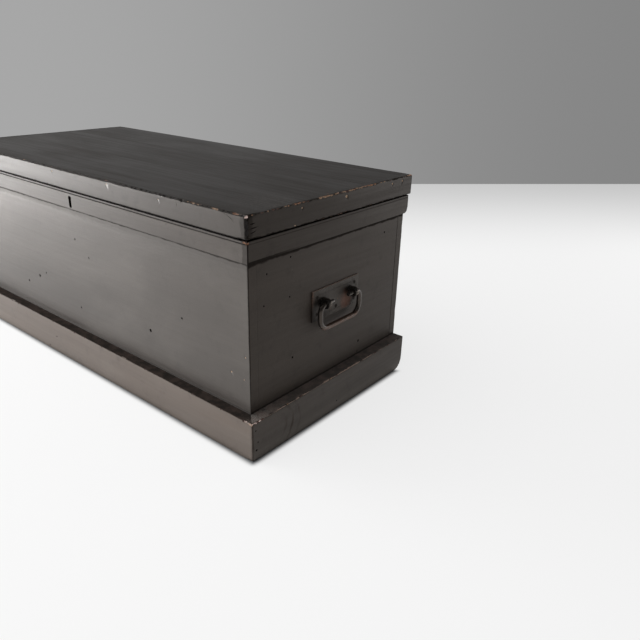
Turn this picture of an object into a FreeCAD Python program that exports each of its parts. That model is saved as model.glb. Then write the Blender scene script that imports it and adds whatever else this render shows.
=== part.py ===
"""A painted pine chest with a lift-up lid, a plinth, a rim band, an inside lock and two drop handles.

+X runs along the chest towards its right end, -Y is the front and +Z is up.
The origin is on the floor, under the middle of the four walls.
All sizes are in millimetres, and every size that can be set by itself is a cell of the sheet.
"""
import FreeCAD, Part
import os
import re
import Sketcher

Vector = FreeCAD.Vector
ALONG_X = Vector(1, 0, 0)
ALONG_Y = Vector(0, 1, 0)
ALONG_Z = Vector(0, 0, 1)

SIZES = {
    # the four walls and what they stand on
    "body_length": 984,
    "body_depth": 460,
    "total_height": 441,
    "wall_thickness": 20,
    "bottom_thickness": 16,
    "bearer_height": 18,
    "bearer_width": 60,
    "bearer_inset": 120,
    # the plinth round the foot, and its knocked-off corner at the back of the right end
    "plinth_height": 78,
    "plinth_front_thickness": 22,
    "plinth_end_thickness": 25,
    "plinth_worn_radius": 25,
    # the band round the rim, with a small bead along its top
    "band_height": 39,
    "band_thickness": 9,
    "band_bead_radius": 2.2,
    "band_groove_width": 1.3,
    "band_worn_radius": 11,
    # the lid: planks, the edging that hangs over the walls, and two battens underneath
    "lid_thickness": 20,
    "lid_seat_gap": 0.2,
    "lid_edging_depth": 39.5,
    "lid_edging_thickness": 13,
    "lid_play": 1,
    "lid_shadow_gap": 1.6,
    "batten_width": 50,
    "batten_thickness": 18,
    "batten_length": 360,
    "batten_inset": 150,
    # butt hinges let into the back wall and the lid
    "hinge_inset": 170,
    "leaf_length": 76,
    "leaf_width": 18,
    "leaf_thickness": 1.9,
    "barrel_radius": 5,
    "barrel_standoff": 0.5,
    "hinge_pin_radius": 2.5,
    "middle_knuckle_length": 25,
    "knuckle_gap": 0.3,
    "turning_clearance": 0.05,
    # drop handles
    "handle_height": 233.5,
    "handle_offset": 2,
    "handle_plate_length": 143,
    "handle_plate_height": 61,
    "handle_plate_thickness": 3,
    "handle_screw_inset": 13.5,
    "lug_spacing": 84,
    "lug_thickness": 9,
    "lug_eye_radius": 9.5,
    "pivot_standoff": 11.5,
    "pivot_rise": 3.5,
    "pivot_pin_radius": 4,
    "pivot_pin_tail": 14,
    "bail_bar_radius": 5,
    "bail_width": 122,
    "bail_drop": 49,
    "bail_corner_radius": 22,
    "bail_shoulder_radius": 13,
    "bail_side_gap": 0.4,
    # the keyhole and the lock behind it
    "keyhole_offset": 4.5,
    "keyhole_drop": 38,
    "keyhole_eye_radius": 4,
    "keyhole_slot_width": 6.4,
    "keyhole_slot_drop": 15,
    "lock_width": 84,
    "lock_height": 60,
    "lock_drop": 2.4,
    "lock_inside_depth": 11,
    "lock_plate_thickness": 2,
    "lock_flange_width": 12,
    "key_pin_radius": 2,
    "key_pin_length": 9.5,
    "bolt_travel": 6,
    "bolt_thickness": 4,
    "bolt_bar_height": 8,
    "bolt_bar_drop": 24,
    "bolt_bar_length": 63,
    "tongue_size": 6,
    "tongue_drop": 10.5,
    "tongue_spacing": 40,
    "bolt_stud_radius": 2,
    "bolt_stud_spacing": 32,
    "bolt_gap": 0.3,
    "spring_strip_thickness": 0.8,
    "loop_thickness": 4,
    "loop_wall": 2,
    "loop_play": 0.5,
    "link_plate_length": 72,
    "link_plate_width": 13,
    "link_plate_lip": 1.5,
    "link_plate_thickness": 2,
    # nails and screws
    "nail_radius": 1.3,
    "nail_head_radius": 2.6,
    "nail_head_thickness": 1.2,
    "nail_set": 1,
    "nail_from_corner": 40,
    "nail_from_top": 25,
    "nail_over_bottom": 20,
    "bottom_nail_from_corner": 90,
    "long_nail": 44,
    "short_nail": 24,
    "screw_head_radius": 3.8,
    "screw_head_depth": 2.4,
    "screw_shank_radius": 1.9,
    "short_screw": 14,
    "long_screw": 30,
    "slot_width": 0.9,
    "slot_depth": 0.9,
}

# Places worked out from the sizes, as formulas
HALF_LENGTH = "(body_length / 2)"
HALF_DEPTH = "(body_depth / 2)"
WALL_BASE = "(bearer_height + bottom_thickness)"
LID_UNDERSIDE = "(total_height - lid_thickness)"
WALL_TOP = f"({LID_UNDERSIDE} - lid_seat_gap)"
WALL_HEIGHT = f"({WALL_TOP} - {WALL_BASE})"
INSIDE_HALF_LENGTH = f"({HALF_LENGTH} - wall_thickness)"
INSIDE_HALF_DEPTH = f"({HALF_DEPTH} - wall_thickness)"
LID_HALF_LENGTH = f"({HALF_LENGTH} + lid_play)"
LID_FRONT = f"({HALF_DEPTH} + lid_play)"
LID_EDGING_FOOT = "(total_height - lid_edging_depth)"
BAND_TOP = f"({LID_EDGING_FOOT} - lid_shadow_gap)"
BAND_FOOT = f"({BAND_TOP} - band_height)"
HINGE_HEIGHT = f"({WALL_TOP} + lid_seat_gap / 2)"
BARREL_OUT = "(barrel_standoff + barrel_radius)"
KEYHOLE_HEIGHT = f"({WALL_TOP} - keyhole_drop)"
LOCK_TOP = f"({WALL_TOP} - lock_drop)"

BOARD_COUNT = 3
NAIL_COUNT_ALONG = 6
NAIL_COUNT_ACROSS = 4
NAIL_COUNT_UP = 5

doc = FreeCAD.newDocument("chest")
sheet = doc.addObject("Spreadsheet::Sheet", "sizes")
for row, (alias, value) in enumerate(SIZES.items(), start=1):
    sheet.set(f"A{row}", alias.replace("_", " "))
    sheet.set(f"B{row}", str(value))
    sheet.setAlias(f"B{row}", alias)
doc.recompute()

pieces = []


# ---------------------------------------------------------------- helpers

def tied(formula):
    """The formula as an expression, with each size read from its cell."""
    return re.sub(r"[a-z]\w+", lambda word: "sizes." + word.group(), str(formula))


def number(formula):
    """What the formula comes to with the sheet's values."""
    filled = re.sub(r"[a-z]\w+", lambda word: str(sheet.get(word.group())), str(formula))
    return FreeCAD.Units.Quantity(filled).Value


def bind(thing, **formulas):
    for name, formula in formulas.items():
        thing.setExpression(name, tied(formula))
    return thing


def place(thing, at, axis=ALONG_Z, angle=0):
    """Turns the thing about an axis through its own origin and puts that origin at a point."""
    thing.Placement = FreeCAD.Placement(Vector(0, 0, 0), FreeCAD.Rotation(axis, angle))
    for letter, formula in zip("xyz", at):
        thing.setExpression(f"Placement.Base.{letter}", tied(formula))
    return thing


def block(name, low, size):
    """A box from its low corner."""
    box = bind(doc.addObject("Part::Box", name), Length=size[0], Width=size[1], Height=size[2])
    return place(box, low)


def rod(name, start, axis, radius, length):
    """A round bar from the middle of its first face."""
    turns = {"x": (ALONG_Y, 90), "y": (ALONG_X, -90), "z": (ALONG_Z, 0)}
    bar = bind(doc.addObject("Part::Cylinder", name), Radius=radius, Height=length)
    return place(bar, start, *turns[axis])


def joined(name, *things):
    fuse = doc.addObject("Part::MultiFuse", name)
    fuse.Shapes = list(things)
    fuse.Refine = True
    return fuse


def without(name, base, *tools):
    """The base with the tools cut away."""
    cut = doc.addObject("Part::Cut", name)
    cut.Base = base
    cut.Tool = tools[0] if len(tools) == 1 else joined(f"{name}_cutters", *tools)
    return cut


def piece(thing):
    """Notes a finished sub-part: its label is the name it was made with."""
    thing.Label = thing.Name
    pieces.append(thing)
    return thing


def origin_plane(body, role):
    return next(feature for feature in body.Origin.OriginFeatures if feature.Role == role)


def sketch_on(body, role, name):
    sketch = body.newObject("Sketcher::SketchObject", name)
    sketch.AttachmentSupport = (origin_plane(body, role), [""])
    sketch.MapMode = "FlatFace"
    return sketch


def pin_point(sketch, curve, point, across, up):
    """Ties a point of a curve to its two distances from the sketch's origin."""
    for kind, formula in (("DistanceX", across), ("DistanceY", up)):
        rule = Sketcher.Constraint(kind, -1, 1, curve, point, number(formula))
        sketch.setExpression(f"Constraints[{sketch.addConstraint(rule)}]", tied(formula))


def polygon(body, role, name, corners):
    """A closed sketch with straight sides."""
    sketch = sketch_on(body, role, name)
    points = [Vector(number(across), number(up), 0) for across, up in corners]
    count = len(points)
    for index in range(count):
        sketch.addGeometry(Part.LineSegment(points[index], points[(index + 1) % count]))
    for index in range(count):
        sketch.addConstraint(Sketcher.Constraint("Coincident", index, 2, (index + 1) % count, 1))
    for index, (across, up) in enumerate(corners):
        pin_point(sketch, index, 1, across, up)
    return sketch


def rectangle(body, role, name, low, high):
    corners = [low, (high[0], low[1]), high, (low[0], high[1])]
    return polygon(body, role, name, corners)


def pad(body, sketch, length, name, side="One side", backwards=False):
    feature = body.newObject("PartDesign::Pad", name)
    feature.Profile = sketch
    feature.SideType = side
    feature.Reversed = backwards
    return bind(feature, Length=length)


def pocket_through(body, sketch, name):
    """A cut right through the body, both ways from the sketch."""
    feature = body.newObject("PartDesign::Pocket", name)
    feature.Profile = sketch
    feature.Type = "ThroughAll"
    feature.Midplane = True
    return feature


def revolved(name, corners):
    """A turned piece with its axis up: the corners are (radius, height) pairs."""
    body = doc.addObject("PartDesign::Body", name)
    sketch = polygon(body, "XZ_Plane", f"{name}_profile", corners)
    turn = body.newObject("PartDesign::Revolution", f"{name}_turned")
    turn.Profile = sketch
    turn.ReferenceAxis = (sketch, ["V_Axis"])
    turn.Angle = 360
    return body


DIRECTIONS = {
    "+x": (ALONG_Y, 90),
    "-x": (ALONG_Y, -90),
    "+y": (ALONG_X, -90),
    "-y": (ALONG_X, 90),
    "+z": (ALONG_Z, 0),
    "-z": (ALONG_X, 180),
}


def fasteners(name, pattern, spots):
    """Copies of one nail or screw; each spot is where its head's face is and the way it points."""
    links = []
    for index, (at, direction) in enumerate(spots, start=1):
        link = doc.addObject("App::Link", f"{name}_{index}")
        link.LinkedObject = pattern
        links.append(place(link, at, *DIRECTIONS[direction]))
    group = doc.addObject("Part::Compound", name)
    group.Links = links
    return piece(group)


def spread(low, high, count):
    """Formulas for evenly spaced places from low to high."""
    return [f"({low} + ({high} - ({low})) * {index} / {count - 1})" for index in range(count)]


# ---------------------------------------------------------------- nails and screws, as patterns

def nail(name, length):
    """A round nail pointing up, its head's outer face at height 0."""
    return revolved(name, [
        (0, 0),
        ("nail_head_radius", 0),
        ("nail_head_radius", "nail_head_thickness"),
        ("nail_radius", "nail_head_thickness"),
        ("nail_radius", f"{length} - 3 * nail_radius"),
        (0, length),
    ])


def screw(name, length):
    """A countersunk slotted screw pointing up, its head's outer face at height 0."""
    body = revolved(name, [
        (0, 0),
        ("screw_head_radius", 0),
        ("screw_shank_radius", "screw_head_depth"),
        ("screw_shank_radius", f"{length} - 2 * screw_shank_radius"),
        (0, length),
    ])
    slot = rectangle(body, "XZ_Plane", f"{name}_slot",
                     ("-slot_width / 2", 0), ("slot_width / 2", "slot_depth"))
    pocket_through(body, slot, f"{name}_slot_cut")
    return body


long_nail = nail("long_nail_pattern", "long_nail")
short_nail = nail("short_nail_pattern", "short_nail")
short_screw = screw("short_screw_pattern", "short_screw")
long_screw = screw("long_screw_pattern", "long_screw")


def screw_hole(name, at, direction, length):
    """The bore for a screw: a countersink and a shank hole of the screw's own size."""
    sink = bind(doc.addObject("Part::Cone", f"{name}_sink"), Radius1="screw_head_radius",
                Radius2="screw_shank_radius", Height="screw_head_depth")
    shank = bind(doc.addObject("Part::Cylinder", f"{name}_shank"), Radius="screw_shank_radius", Height=length)
    hole = joined(name, sink, shank)
    return place(hole, at, *DIRECTIONS[direction])


# ---------------------------------------------------------------- walls, bottom and plinth

def keyhole_cutter(name, front, depth):
    """A round eye over a slot with a round foot, running back from a given Y."""
    left = "-keyhole_offset"
    foot = f"({KEYHOLE_HEIGHT} - keyhole_slot_drop)"
    eye = rod(f"{name}_eye", (left, front, KEYHOLE_HEIGHT), "y", "keyhole_eye_radius", depth)
    slot = block(f"{name}_slot", (f"{left} - keyhole_slot_width / 2", front, foot),
                 ("keyhole_slot_width", depth, "keyhole_slot_drop"))
    end = rod(f"{name}_foot", (left, front, foot), "y", "keyhole_slot_width / 2", depth)
    return joined(name, eye, slot, end)


def hinge_centre(side):
    return f"({side} * ({HALF_LENGTH} - hinge_inset))"


def leaf_recess(name, side, foot):
    """What a hinge leaf is let into, from a given height up."""
    low = (f"{hinge_centre(side)} - leaf_length / 2", f"{HALF_DEPTH} - leaf_width", foot)
    return block(name, low, ("leaf_length", "leaf_width", "leaf_thickness"))


def walls():
    """Front and back walls run the full length and cover the end walls' edges."""
    blank = block("front_blank", (f"-{HALF_LENGTH}", f"-{HALF_DEPTH}", WALL_BASE),
                  ("body_length", "wall_thickness", WALL_HEIGHT))
    hole = keyhole_cutter("front_keyhole", f"-{HALF_DEPTH}", "wall_thickness")
    piece(without("front_board", blank, hole))

    blank = block("back_blank", (f"-{HALF_LENGTH}", INSIDE_HALF_DEPTH, WALL_BASE),
                  ("body_length", "wall_thickness", WALL_HEIGHT))
    recesses = [
        leaf_recess(f"back_recess_{index}", side, f"{WALL_TOP} - leaf_thickness")
        for index, side in enumerate((1, -1))
    ]
    piece(without("back_board", blank, *recesses))

    for name, low in (("right_end_board", INSIDE_HALF_LENGTH), ("left_end_board", f"-{HALF_LENGTH}")):
        piece(block(name, (low, f"-{INSIDE_HALF_DEPTH}", WALL_BASE),
                    ("wall_thickness", f"2 * {INSIDE_HALF_DEPTH}", WALL_HEIGHT)))


def bottom():
    """Three boards nailed up under the walls, on three bearers that hold them off the floor."""
    width = f"(body_depth / {BOARD_COUNT})"
    for index, name in enumerate(("bottom_board_front", "bottom_board_middle", "bottom_board_back")):
        piece(block(name, (f"-{HALF_LENGTH}", f"-{HALF_DEPTH} + {index} * {width}", "bearer_height"),
                    ("body_length", width, "bottom_thickness")))
    for name, side in (("bearer_right", 1), ("bearer_middle", 0), ("bearer_left", -1)):
        middle = f"({side} * ({HALF_LENGTH} - bearer_inset))"
        piece(block(name, (f"{middle} - bearer_width / 2", f"-{HALF_DEPTH}", 0),
                    ("bearer_width", "body_depth", "bearer_height")))


def mitred_front(name, half_length, front, end_thickness, front_thickness, foot, head):
    """A strip along the front, mitred at both ends; its inner face is at -front."""
    strip = bind(doc.addObject("Part::Wedge", name),
                 Ymin=f"-({front} + {front_thickness})", Ymax=f"-{front}",
                 Xmin=f"-({half_length} + {end_thickness})", Xmax=f"{half_length} + {end_thickness}",
                 X2min=f"-{half_length}", X2max=half_length,
                 Zmin=foot, Zmax=head, Z2min=foot, Z2max=head)
    return strip


def mitred_end(name, side, half_length, front, end_thickness, front_thickness, foot, head):
    """A strip along one end, mitred at the front and cut square at the back wall's face."""
    outer_front = f"{front} + {front_thickness}"
    outer = {"Xmin": f"-({outer_front})", "Xmax": HALF_DEPTH, "X2min": f"-{front}", "X2max": HALF_DEPTH}
    if side < 0:
        outer = {"Xmin": f"-{HALF_DEPTH}", "Xmax": outer_front, "X2min": f"-{HALF_DEPTH}", "X2max": front}
    strip = bind(doc.addObject("Part::Wedge", name), **outer,
                 Ymin=f"-({half_length} + {end_thickness})", Ymax=f"-{half_length}",
                 Zmin=foot, Zmax=head, Z2min=foot, Z2max=head)
    strip.Placement = FreeCAD.Placement(Vector(0, 0, 0), FreeCAD.Rotation(ALONG_Z, 90 * side))
    return strip


def worn_corner(name, start, thickness, radius, foot):
    """What is knocked off the lower back corner of a strip along the right end."""
    corner = block(f"{name}_square", (start, f"{HALF_DEPTH} - {radius}", foot), (thickness, radius, radius))
    curve = rod(f"{name}_round", (start, f"{HALF_DEPTH} - {radius}", f"{foot} + {radius}"),
                "x", radius, thickness)
    return without(name, corner, curve)


def plinth():
    sizes = (HALF_LENGTH, HALF_DEPTH, "plinth_end_thickness", "plinth_front_thickness", 0, "plinth_height")
    piece(mitred_front("plinth_front", *sizes))
    piece(mitred_end("plinth_left", -1, *sizes))
    whole = mitred_end("plinth_right_blank", 1, *sizes)
    worn = worn_corner("plinth_worn", HALF_LENGTH, "plinth_end_thickness", "plinth_worn_radius", 0)
    piece(without("plinth_right", whole, worn))


def beaded_strip(name, inner, length):
    """A straight strip with a groove and a bead along its top, centred on X; its inner face is at -inner."""
    outer = f"({inner} + band_thickness)"
    shoulder = f"({BAND_TOP} - 2 * band_bead_radius - band_groove_width)"
    face = block(f"{name}_face", (f"-{length}", f"-{outer}", BAND_FOOT),
                 (f"2 * {length}", "band_thickness", f"{shoulder} - {BAND_FOOT}"))
    core = block(f"{name}_core", (f"-{length}", f"-{outer} + band_bead_radius", BAND_FOOT),
                 (f"2 * {length}", "band_thickness - band_bead_radius", "band_height"))
    bead = rod(f"{name}_bead",
               (f"-{length}", f"-{outer} + band_bead_radius", f"{BAND_TOP} - band_bead_radius"),
               "x", "band_bead_radius", f"2 * {length}")
    return joined(name, face, core, bead)


def shaped_by(name, outline, strip):
    """Where a mitred outline and a moulded strip coincide."""
    common = doc.addObject("Part::MultiCommon", name)
    common.Shapes = [outline, strip]
    return common


def rim_band():
    sizes = (HALF_LENGTH, HALF_DEPTH, "band_thickness", "band_thickness", BAND_FOOT, BAND_TOP)
    reach = f"({HALF_LENGTH} + band_thickness)"
    outline = mitred_front("band_front_outline", *sizes)
    front = shaped_by("band_front_strip", outline, beaded_strip("band_front_beaded", HALF_DEPTH, reach))
    hole = keyhole_cutter("band_keyhole", f"-({HALF_DEPTH} + band_thickness)", "band_thickness")
    piece(without("rim_band_front", front, hole))

    reach = f"({HALF_DEPTH} + band_thickness)"
    for name, side in (("rim_band_right", 1), ("rim_band_left", -1)):
        outline = mitred_end(f"{name}_outline", side, *sizes)
        strip = beaded_strip(f"{name}_beaded", HALF_LENGTH, reach)
        strip.Placement = FreeCAD.Placement(Vector(0, 0, 0), FreeCAD.Rotation(ALONG_Z, 90 * side))
        if side < 0:
            piece(shaped_by(name, outline, strip))
            continue
        whole = shaped_by(f"{name}_strip", outline, strip)
        worn = worn_corner("band_worn", HALF_LENGTH, "band_thickness", "band_worn_radius", BAND_FOOT)
        piece(without(name, whole, worn))


# ---------------------------------------------------------------- lid

def lid():
    """Three planks, edged on the front and both ends, with two battens screwed underneath."""
    width = f"((body_depth + lid_play) / {BOARD_COUNT})"
    names = ("lid_board_front", "lid_board_middle", "lid_board_back")
    for index, name in enumerate(names):
        low = (f"-{LID_HALF_LENGTH}", f"-{LID_FRONT} + {index} * {width}", LID_UNDERSIDE)
        size = (f"2 * {LID_HALF_LENGTH}", width, "lid_thickness")
        if name != "lid_board_back":
            piece(block(name, low, size))
            continue
        recesses = [
            leaf_recess(f"lid_recess_{index}", side, LID_UNDERSIDE)
            for index, side in enumerate((1, -1))
        ]
        piece(without(name, block("lid_back_blank", low, size), *recesses))

    sizes = (LID_HALF_LENGTH, LID_FRONT, "lid_edging_thickness", "lid_edging_thickness",
             LID_EDGING_FOOT, "total_height")
    piece(mitred_front("lid_edging_front", *sizes))
    piece(mitred_end("lid_edging_right", 1, *sizes))
    piece(mitred_end("lid_edging_left", -1, *sizes))

    for name, side in (("lid_batten_right", 1), ("lid_batten_left", -1)):
        middle = f"({side} * ({HALF_LENGTH} - batten_inset))"
        piece(block(name, (f"{middle} - batten_width / 2", "-batten_length / 2",
                           f"{LID_UNDERSIDE} - batten_thickness"),
                    ("batten_width", "batten_length", "batten_thickness")))


# ---------------------------------------------------------------- hinges

HINGE_SCREW_SHARES = (-0.36, 0, 0.36)


def knuckle(name, start, length, tongue_foot, bore):
    """One knuckle about the hinge's axis, with the tongue that joins it to its leaf.

    The hinge's own frame has its origin on the back wall's face at the height of the axis.
    """
    tongue_start = "(barrel_standoff - knuckle_gap)"
    barrel = rod(f"{name}_barrel", (start, BARREL_OUT, 0), "x", "barrel_radius", length)
    tongue = block(f"{name}_tongue", (start, tongue_start, tongue_foot),
                   (length, f"{BARREL_OUT} - {tongue_start}", "leaf_thickness"))
    hole = rod(f"{name}_bore", (start, BARREL_OUT, 0), "x", bore, length)
    return without(name, joined(f"{name}_solid", barrel, tongue), hole)


def leaf(name, plate_foot, knuckles, holes_face, direction):
    """A hinge leaf: a plate with three screw holes and its knuckles."""
    plate = block(f"{name}_plate", ("-leaf_length / 2", "-leaf_width", plate_foot),
                  ("leaf_length", "leaf_width + barrel_standoff - knuckle_gap", "leaf_thickness"))
    holes = [
        screw_hole(f"{name}_hole_{index}", (f"leaf_length * {share}", "-leaf_width / 2", holes_face),
                   direction, "short_screw")
        for index, share in enumerate(HINGE_SCREW_SHARES)
    ]
    bored = without(f"{name}_bored", plate, *holes)
    return joined(name, bored, *knuckles)


def hinges():
    """Each hinge's pin and outer knuckles stay with the chest, and its middle knuckle with the lid."""
    outer_start = "(middle_knuckle_length / 2 + knuckle_gap)"
    outer_length = f"(leaf_length / 2 - {outer_start})"
    chest_foot = "(-lid_seat_gap / 2 - leaf_thickness)"
    lid_foot = "(lid_seat_gap / 2)"
    for word, side in (("right", 1), ("left", -1)):
        at = (hinge_centre(side), HALF_DEPTH, HINGE_HEIGHT)
        ends = [
            knuckle(f"{word}_hinge_knuckle_{index}", start, outer_length, chest_foot, "hinge_pin_radius")
            for index, start in enumerate((outer_start, "-leaf_length / 2"))
        ]
        chest_leaf = leaf(f"{word}_hinge_chest_leaf", chest_foot, ends, "-lid_seat_gap / 2", "-z")
        piece(place(chest_leaf, at))

        middle = knuckle(f"{word}_hinge_middle_knuckle", "-middle_knuckle_length / 2",
                         "middle_knuckle_length", lid_foot, "hinge_pin_radius + turning_clearance")
        lid_leaf = leaf(f"{word}_hinge_lid_leaf", lid_foot, [middle], lid_foot, "+z")
        piece(place(lid_leaf, at))

        pin_start = (f"{hinge_centre(side)} - leaf_length / 2", f"{HALF_DEPTH} + {BARREL_OUT}", HINGE_HEIGHT)
        piece(rod(f"{word}_hinge_pin", pin_start, "x", "hinge_pin_radius", "leaf_length"))

    line = f"{HALF_DEPTH} - leaf_width / 2"
    spots = [(f"{hinge_centre(side)} + leaf_length * {share}", line)
             for side in (1, -1) for share in HINGE_SCREW_SHARES]
    fasteners("chest_hinge_screws", short_screw, [((x, y, WALL_TOP), "-z") for x, y in spots])
    fasteners("lid_hinge_screws", short_screw, [((x, y, LID_UNDERSIDE), "+z") for x, y in spots])


# ---------------------------------------------------------------- drop handles

# A handle's own frame has its origin on the end wall's face at the plate's middle, +X outwards.
PIVOT_OUT = "(handle_plate_thickness + pivot_standoff)"
HANDLE_SCREW_RISE = "(handle_plate_height / 2 - handle_screw_inset)"
HANDLE_SCREW_REACH = "(handle_plate_length / 2 - handle_screw_inset)"
HANDLE_SCREWS = [
    (HANDLE_SCREW_REACH, HANDLE_SCREW_RISE),
    (f"-{HANDLE_SCREW_REACH}", HANDLE_SCREW_RISE),
    (HANDLE_SCREW_REACH, f"-{HANDLE_SCREW_RISE}"),
    (f"-{HANDLE_SCREW_REACH}", f"-{HANDLE_SCREW_RISE}"),
    (0, f"-{HANDLE_SCREW_RISE}"),
]


def handle_plate(name):
    plate = block(f"{name}_blank", (0, "-handle_plate_length / 2", "-handle_plate_height / 2"),
                  ("handle_plate_thickness", "handle_plate_length", "handle_plate_height"))
    holes = [
        screw_hole(f"{name}_hole_{index}", ("handle_plate_thickness", across, up), "-x", "short_screw")
        for index, (across, up) in enumerate(HANDLE_SCREWS)
    ]
    return without(name, plate, *holes)


def handle_lugs(name):
    """Two upright eyes on the plate, each a flat forging with a round nose, bored for the bail's pin."""
    lugs = []
    for index, side in enumerate((1, -1)):
        inner = f"({side} * lug_spacing / 2 - lug_thickness / 2)"
        nose = rod(f"{name}_nose_{index}", (PIVOT_OUT, inner, "pivot_rise"), "y",
                   "lug_eye_radius", "lug_thickness")
        root = block(f"{name}_root_{index}", ("handle_plate_thickness", inner, "pivot_rise - lug_eye_radius"),
                     ("pivot_standoff", "lug_thickness", "2 * lug_eye_radius"))
        eye = rod(f"{name}_eye_{index}", (PIVOT_OUT, inner, "pivot_rise"), "y",
                  "pivot_pin_radius + turning_clearance", "lug_thickness")
        lugs.append(without(f"{name}_lug_{index}", joined(f"{name}_solid_{index}", nose, root), eye))
    group = doc.addObject("Part::Compound", name)
    group.Links = lugs
    return group


def bend(name, at, radius, turned):
    """A quarter bend of the bail's bar in the YZ plane, swept on from +Y by quarter turns."""
    ring = bind(doc.addObject("Part::Torus", name), Radius1=radius, Radius2="bail_bar_radius")
    ring.Angle3 = 90
    in_yz_plane = FreeCAD.Rotation(Vector(0, 1, 0), Vector(0, 0, 1), Vector(1, 0, 0), "ZXY")
    quarter = FreeCAD.Rotation(ALONG_X, 90 * turned)
    ring.Placement = FreeCAD.Placement(Vector(0, 0, 0), quarter.multiply(in_yz_plane))
    for letter, formula in zip("xyz", at):
        ring.setExpression(f"Placement.Base.{letter}", tied(formula))
    return ring


def bail(name):
    """A D of round bar: its ends turn inwards and are forged down to pins that enter the lugs."""
    arm = "(bail_width / 2)"
    shoulder_in = f"({arm} - bail_shoulder_radius)"
    corner_in = f"({arm} - bail_corner_radius)"
    shoulder_foot = "(pivot_rise - bail_shoulder_radius)"
    corner_head = "(pivot_rise - bail_drop + bail_corner_radius)"
    stub_start = "(lug_spacing / 2 + lug_thickness / 2 + bail_side_gap)"
    pin_tip = "(lug_spacing / 2 - lug_thickness / 2 - pivot_pin_tail)"
    parts = [rod(f"{name}_grip", (PIVOT_OUT, f"-{corner_in}", "pivot_rise - bail_drop"), "y",
                 "bail_bar_radius", f"2 * {corner_in}")]
    for index, side in enumerate((1, -1)):
        stub = stub_start if side > 0 else f"-{shoulder_in}"
        pin = pin_tip if side > 0 else f"-{shoulder_in}"
        parts += [
            rod(f"{name}_arm_{index}", (PIVOT_OUT, f"{side} * {arm}", corner_head), "z",
                "bail_bar_radius", f"{shoulder_foot} - {corner_head}"),
            rod(f"{name}_stub_{index}", (PIVOT_OUT, stub, "pivot_rise"), "y",
                "bail_bar_radius", f"{shoulder_in} - {stub_start}"),
            rod(f"{name}_pin_{index}", (PIVOT_OUT, pin, "pivot_rise"), "y",
                "pivot_pin_radius", f"{shoulder_in} - {pin_tip}"),
            bend(f"{name}_shoulder_{index}", (PIVOT_OUT, f"{side} * {shoulder_in}", shoulder_foot),
                 "bail_shoulder_radius", index),
            bend(f"{name}_corner_{index}", (PIVOT_OUT, f"{side} * {corner_in}", corner_head),
                 "bail_corner_radius", 3 - index),
        ]
    return joined(name, *parts)


def handles():
    spots = []
    for word, side in (("right", 1), ("left", -1)):
        at = (f"{side} * {HALF_LENGTH}", f"{side} * handle_offset", "handle_height")
        turned = 0 if side > 0 else 180
        for make, part_name in ((handle_plate, "handle_plate"), (handle_lugs, "handle_lugs"), (bail, "bail")):
            piece(place(make(f"{word}_{part_name}"), at, ALONG_Z, turned))
        for across, up in HANDLE_SCREWS:
            at = (f"{side} * ({HALF_LENGTH} + handle_plate_thickness)",
                  f"{side} * (handle_offset + {across})", f"handle_height + {up}")
            spots.append((at, "-x" if side > 0 else "+x"))
    fasteners("handle_screws", short_screw, spots)


# ---------------------------------------------------------------- lock

LOCK_MIDDLE = "(-keyhole_offset)"
CASE_FRONT = f"(-{INSIDE_HALF_DEPTH})"
CASE_INSIDE = f"({CASE_FRONT} + lock_plate_thickness)"
CAP_FRONT = f"({CASE_INSIDE} + lock_inside_depth)"
BOLT_FRONT = f"({CASE_INSIDE} + (lock_inside_depth - bolt_thickness) / 2)"
LOOP_FRONT = f"({BOLT_FRONT} - loop_wall - loop_play)"
LOOP_WIDTH = "(bolt_thickness + 2 * loop_wall + 2 * loop_play)"
BAR_TOP = f"({LOCK_TOP} - bolt_bar_drop + bolt_bar_height)"
TONGUE_TOP = f"({LOCK_TOP} - tongue_drop + tongue_size)"
LOCK_SCREW_SHARES = (0.2, 0.8)


def tongue_root(side):
    """The left side of a tongue's post, for the left (-1) or the right (+1) tongue."""
    return f"({side} * tongue_spacing / 2 - tongue_size)"


def loop_left(side):
    return f"({LOCK_MIDDLE} + {tongue_root(side)} + 2 * tongue_size + loop_play)"


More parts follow.
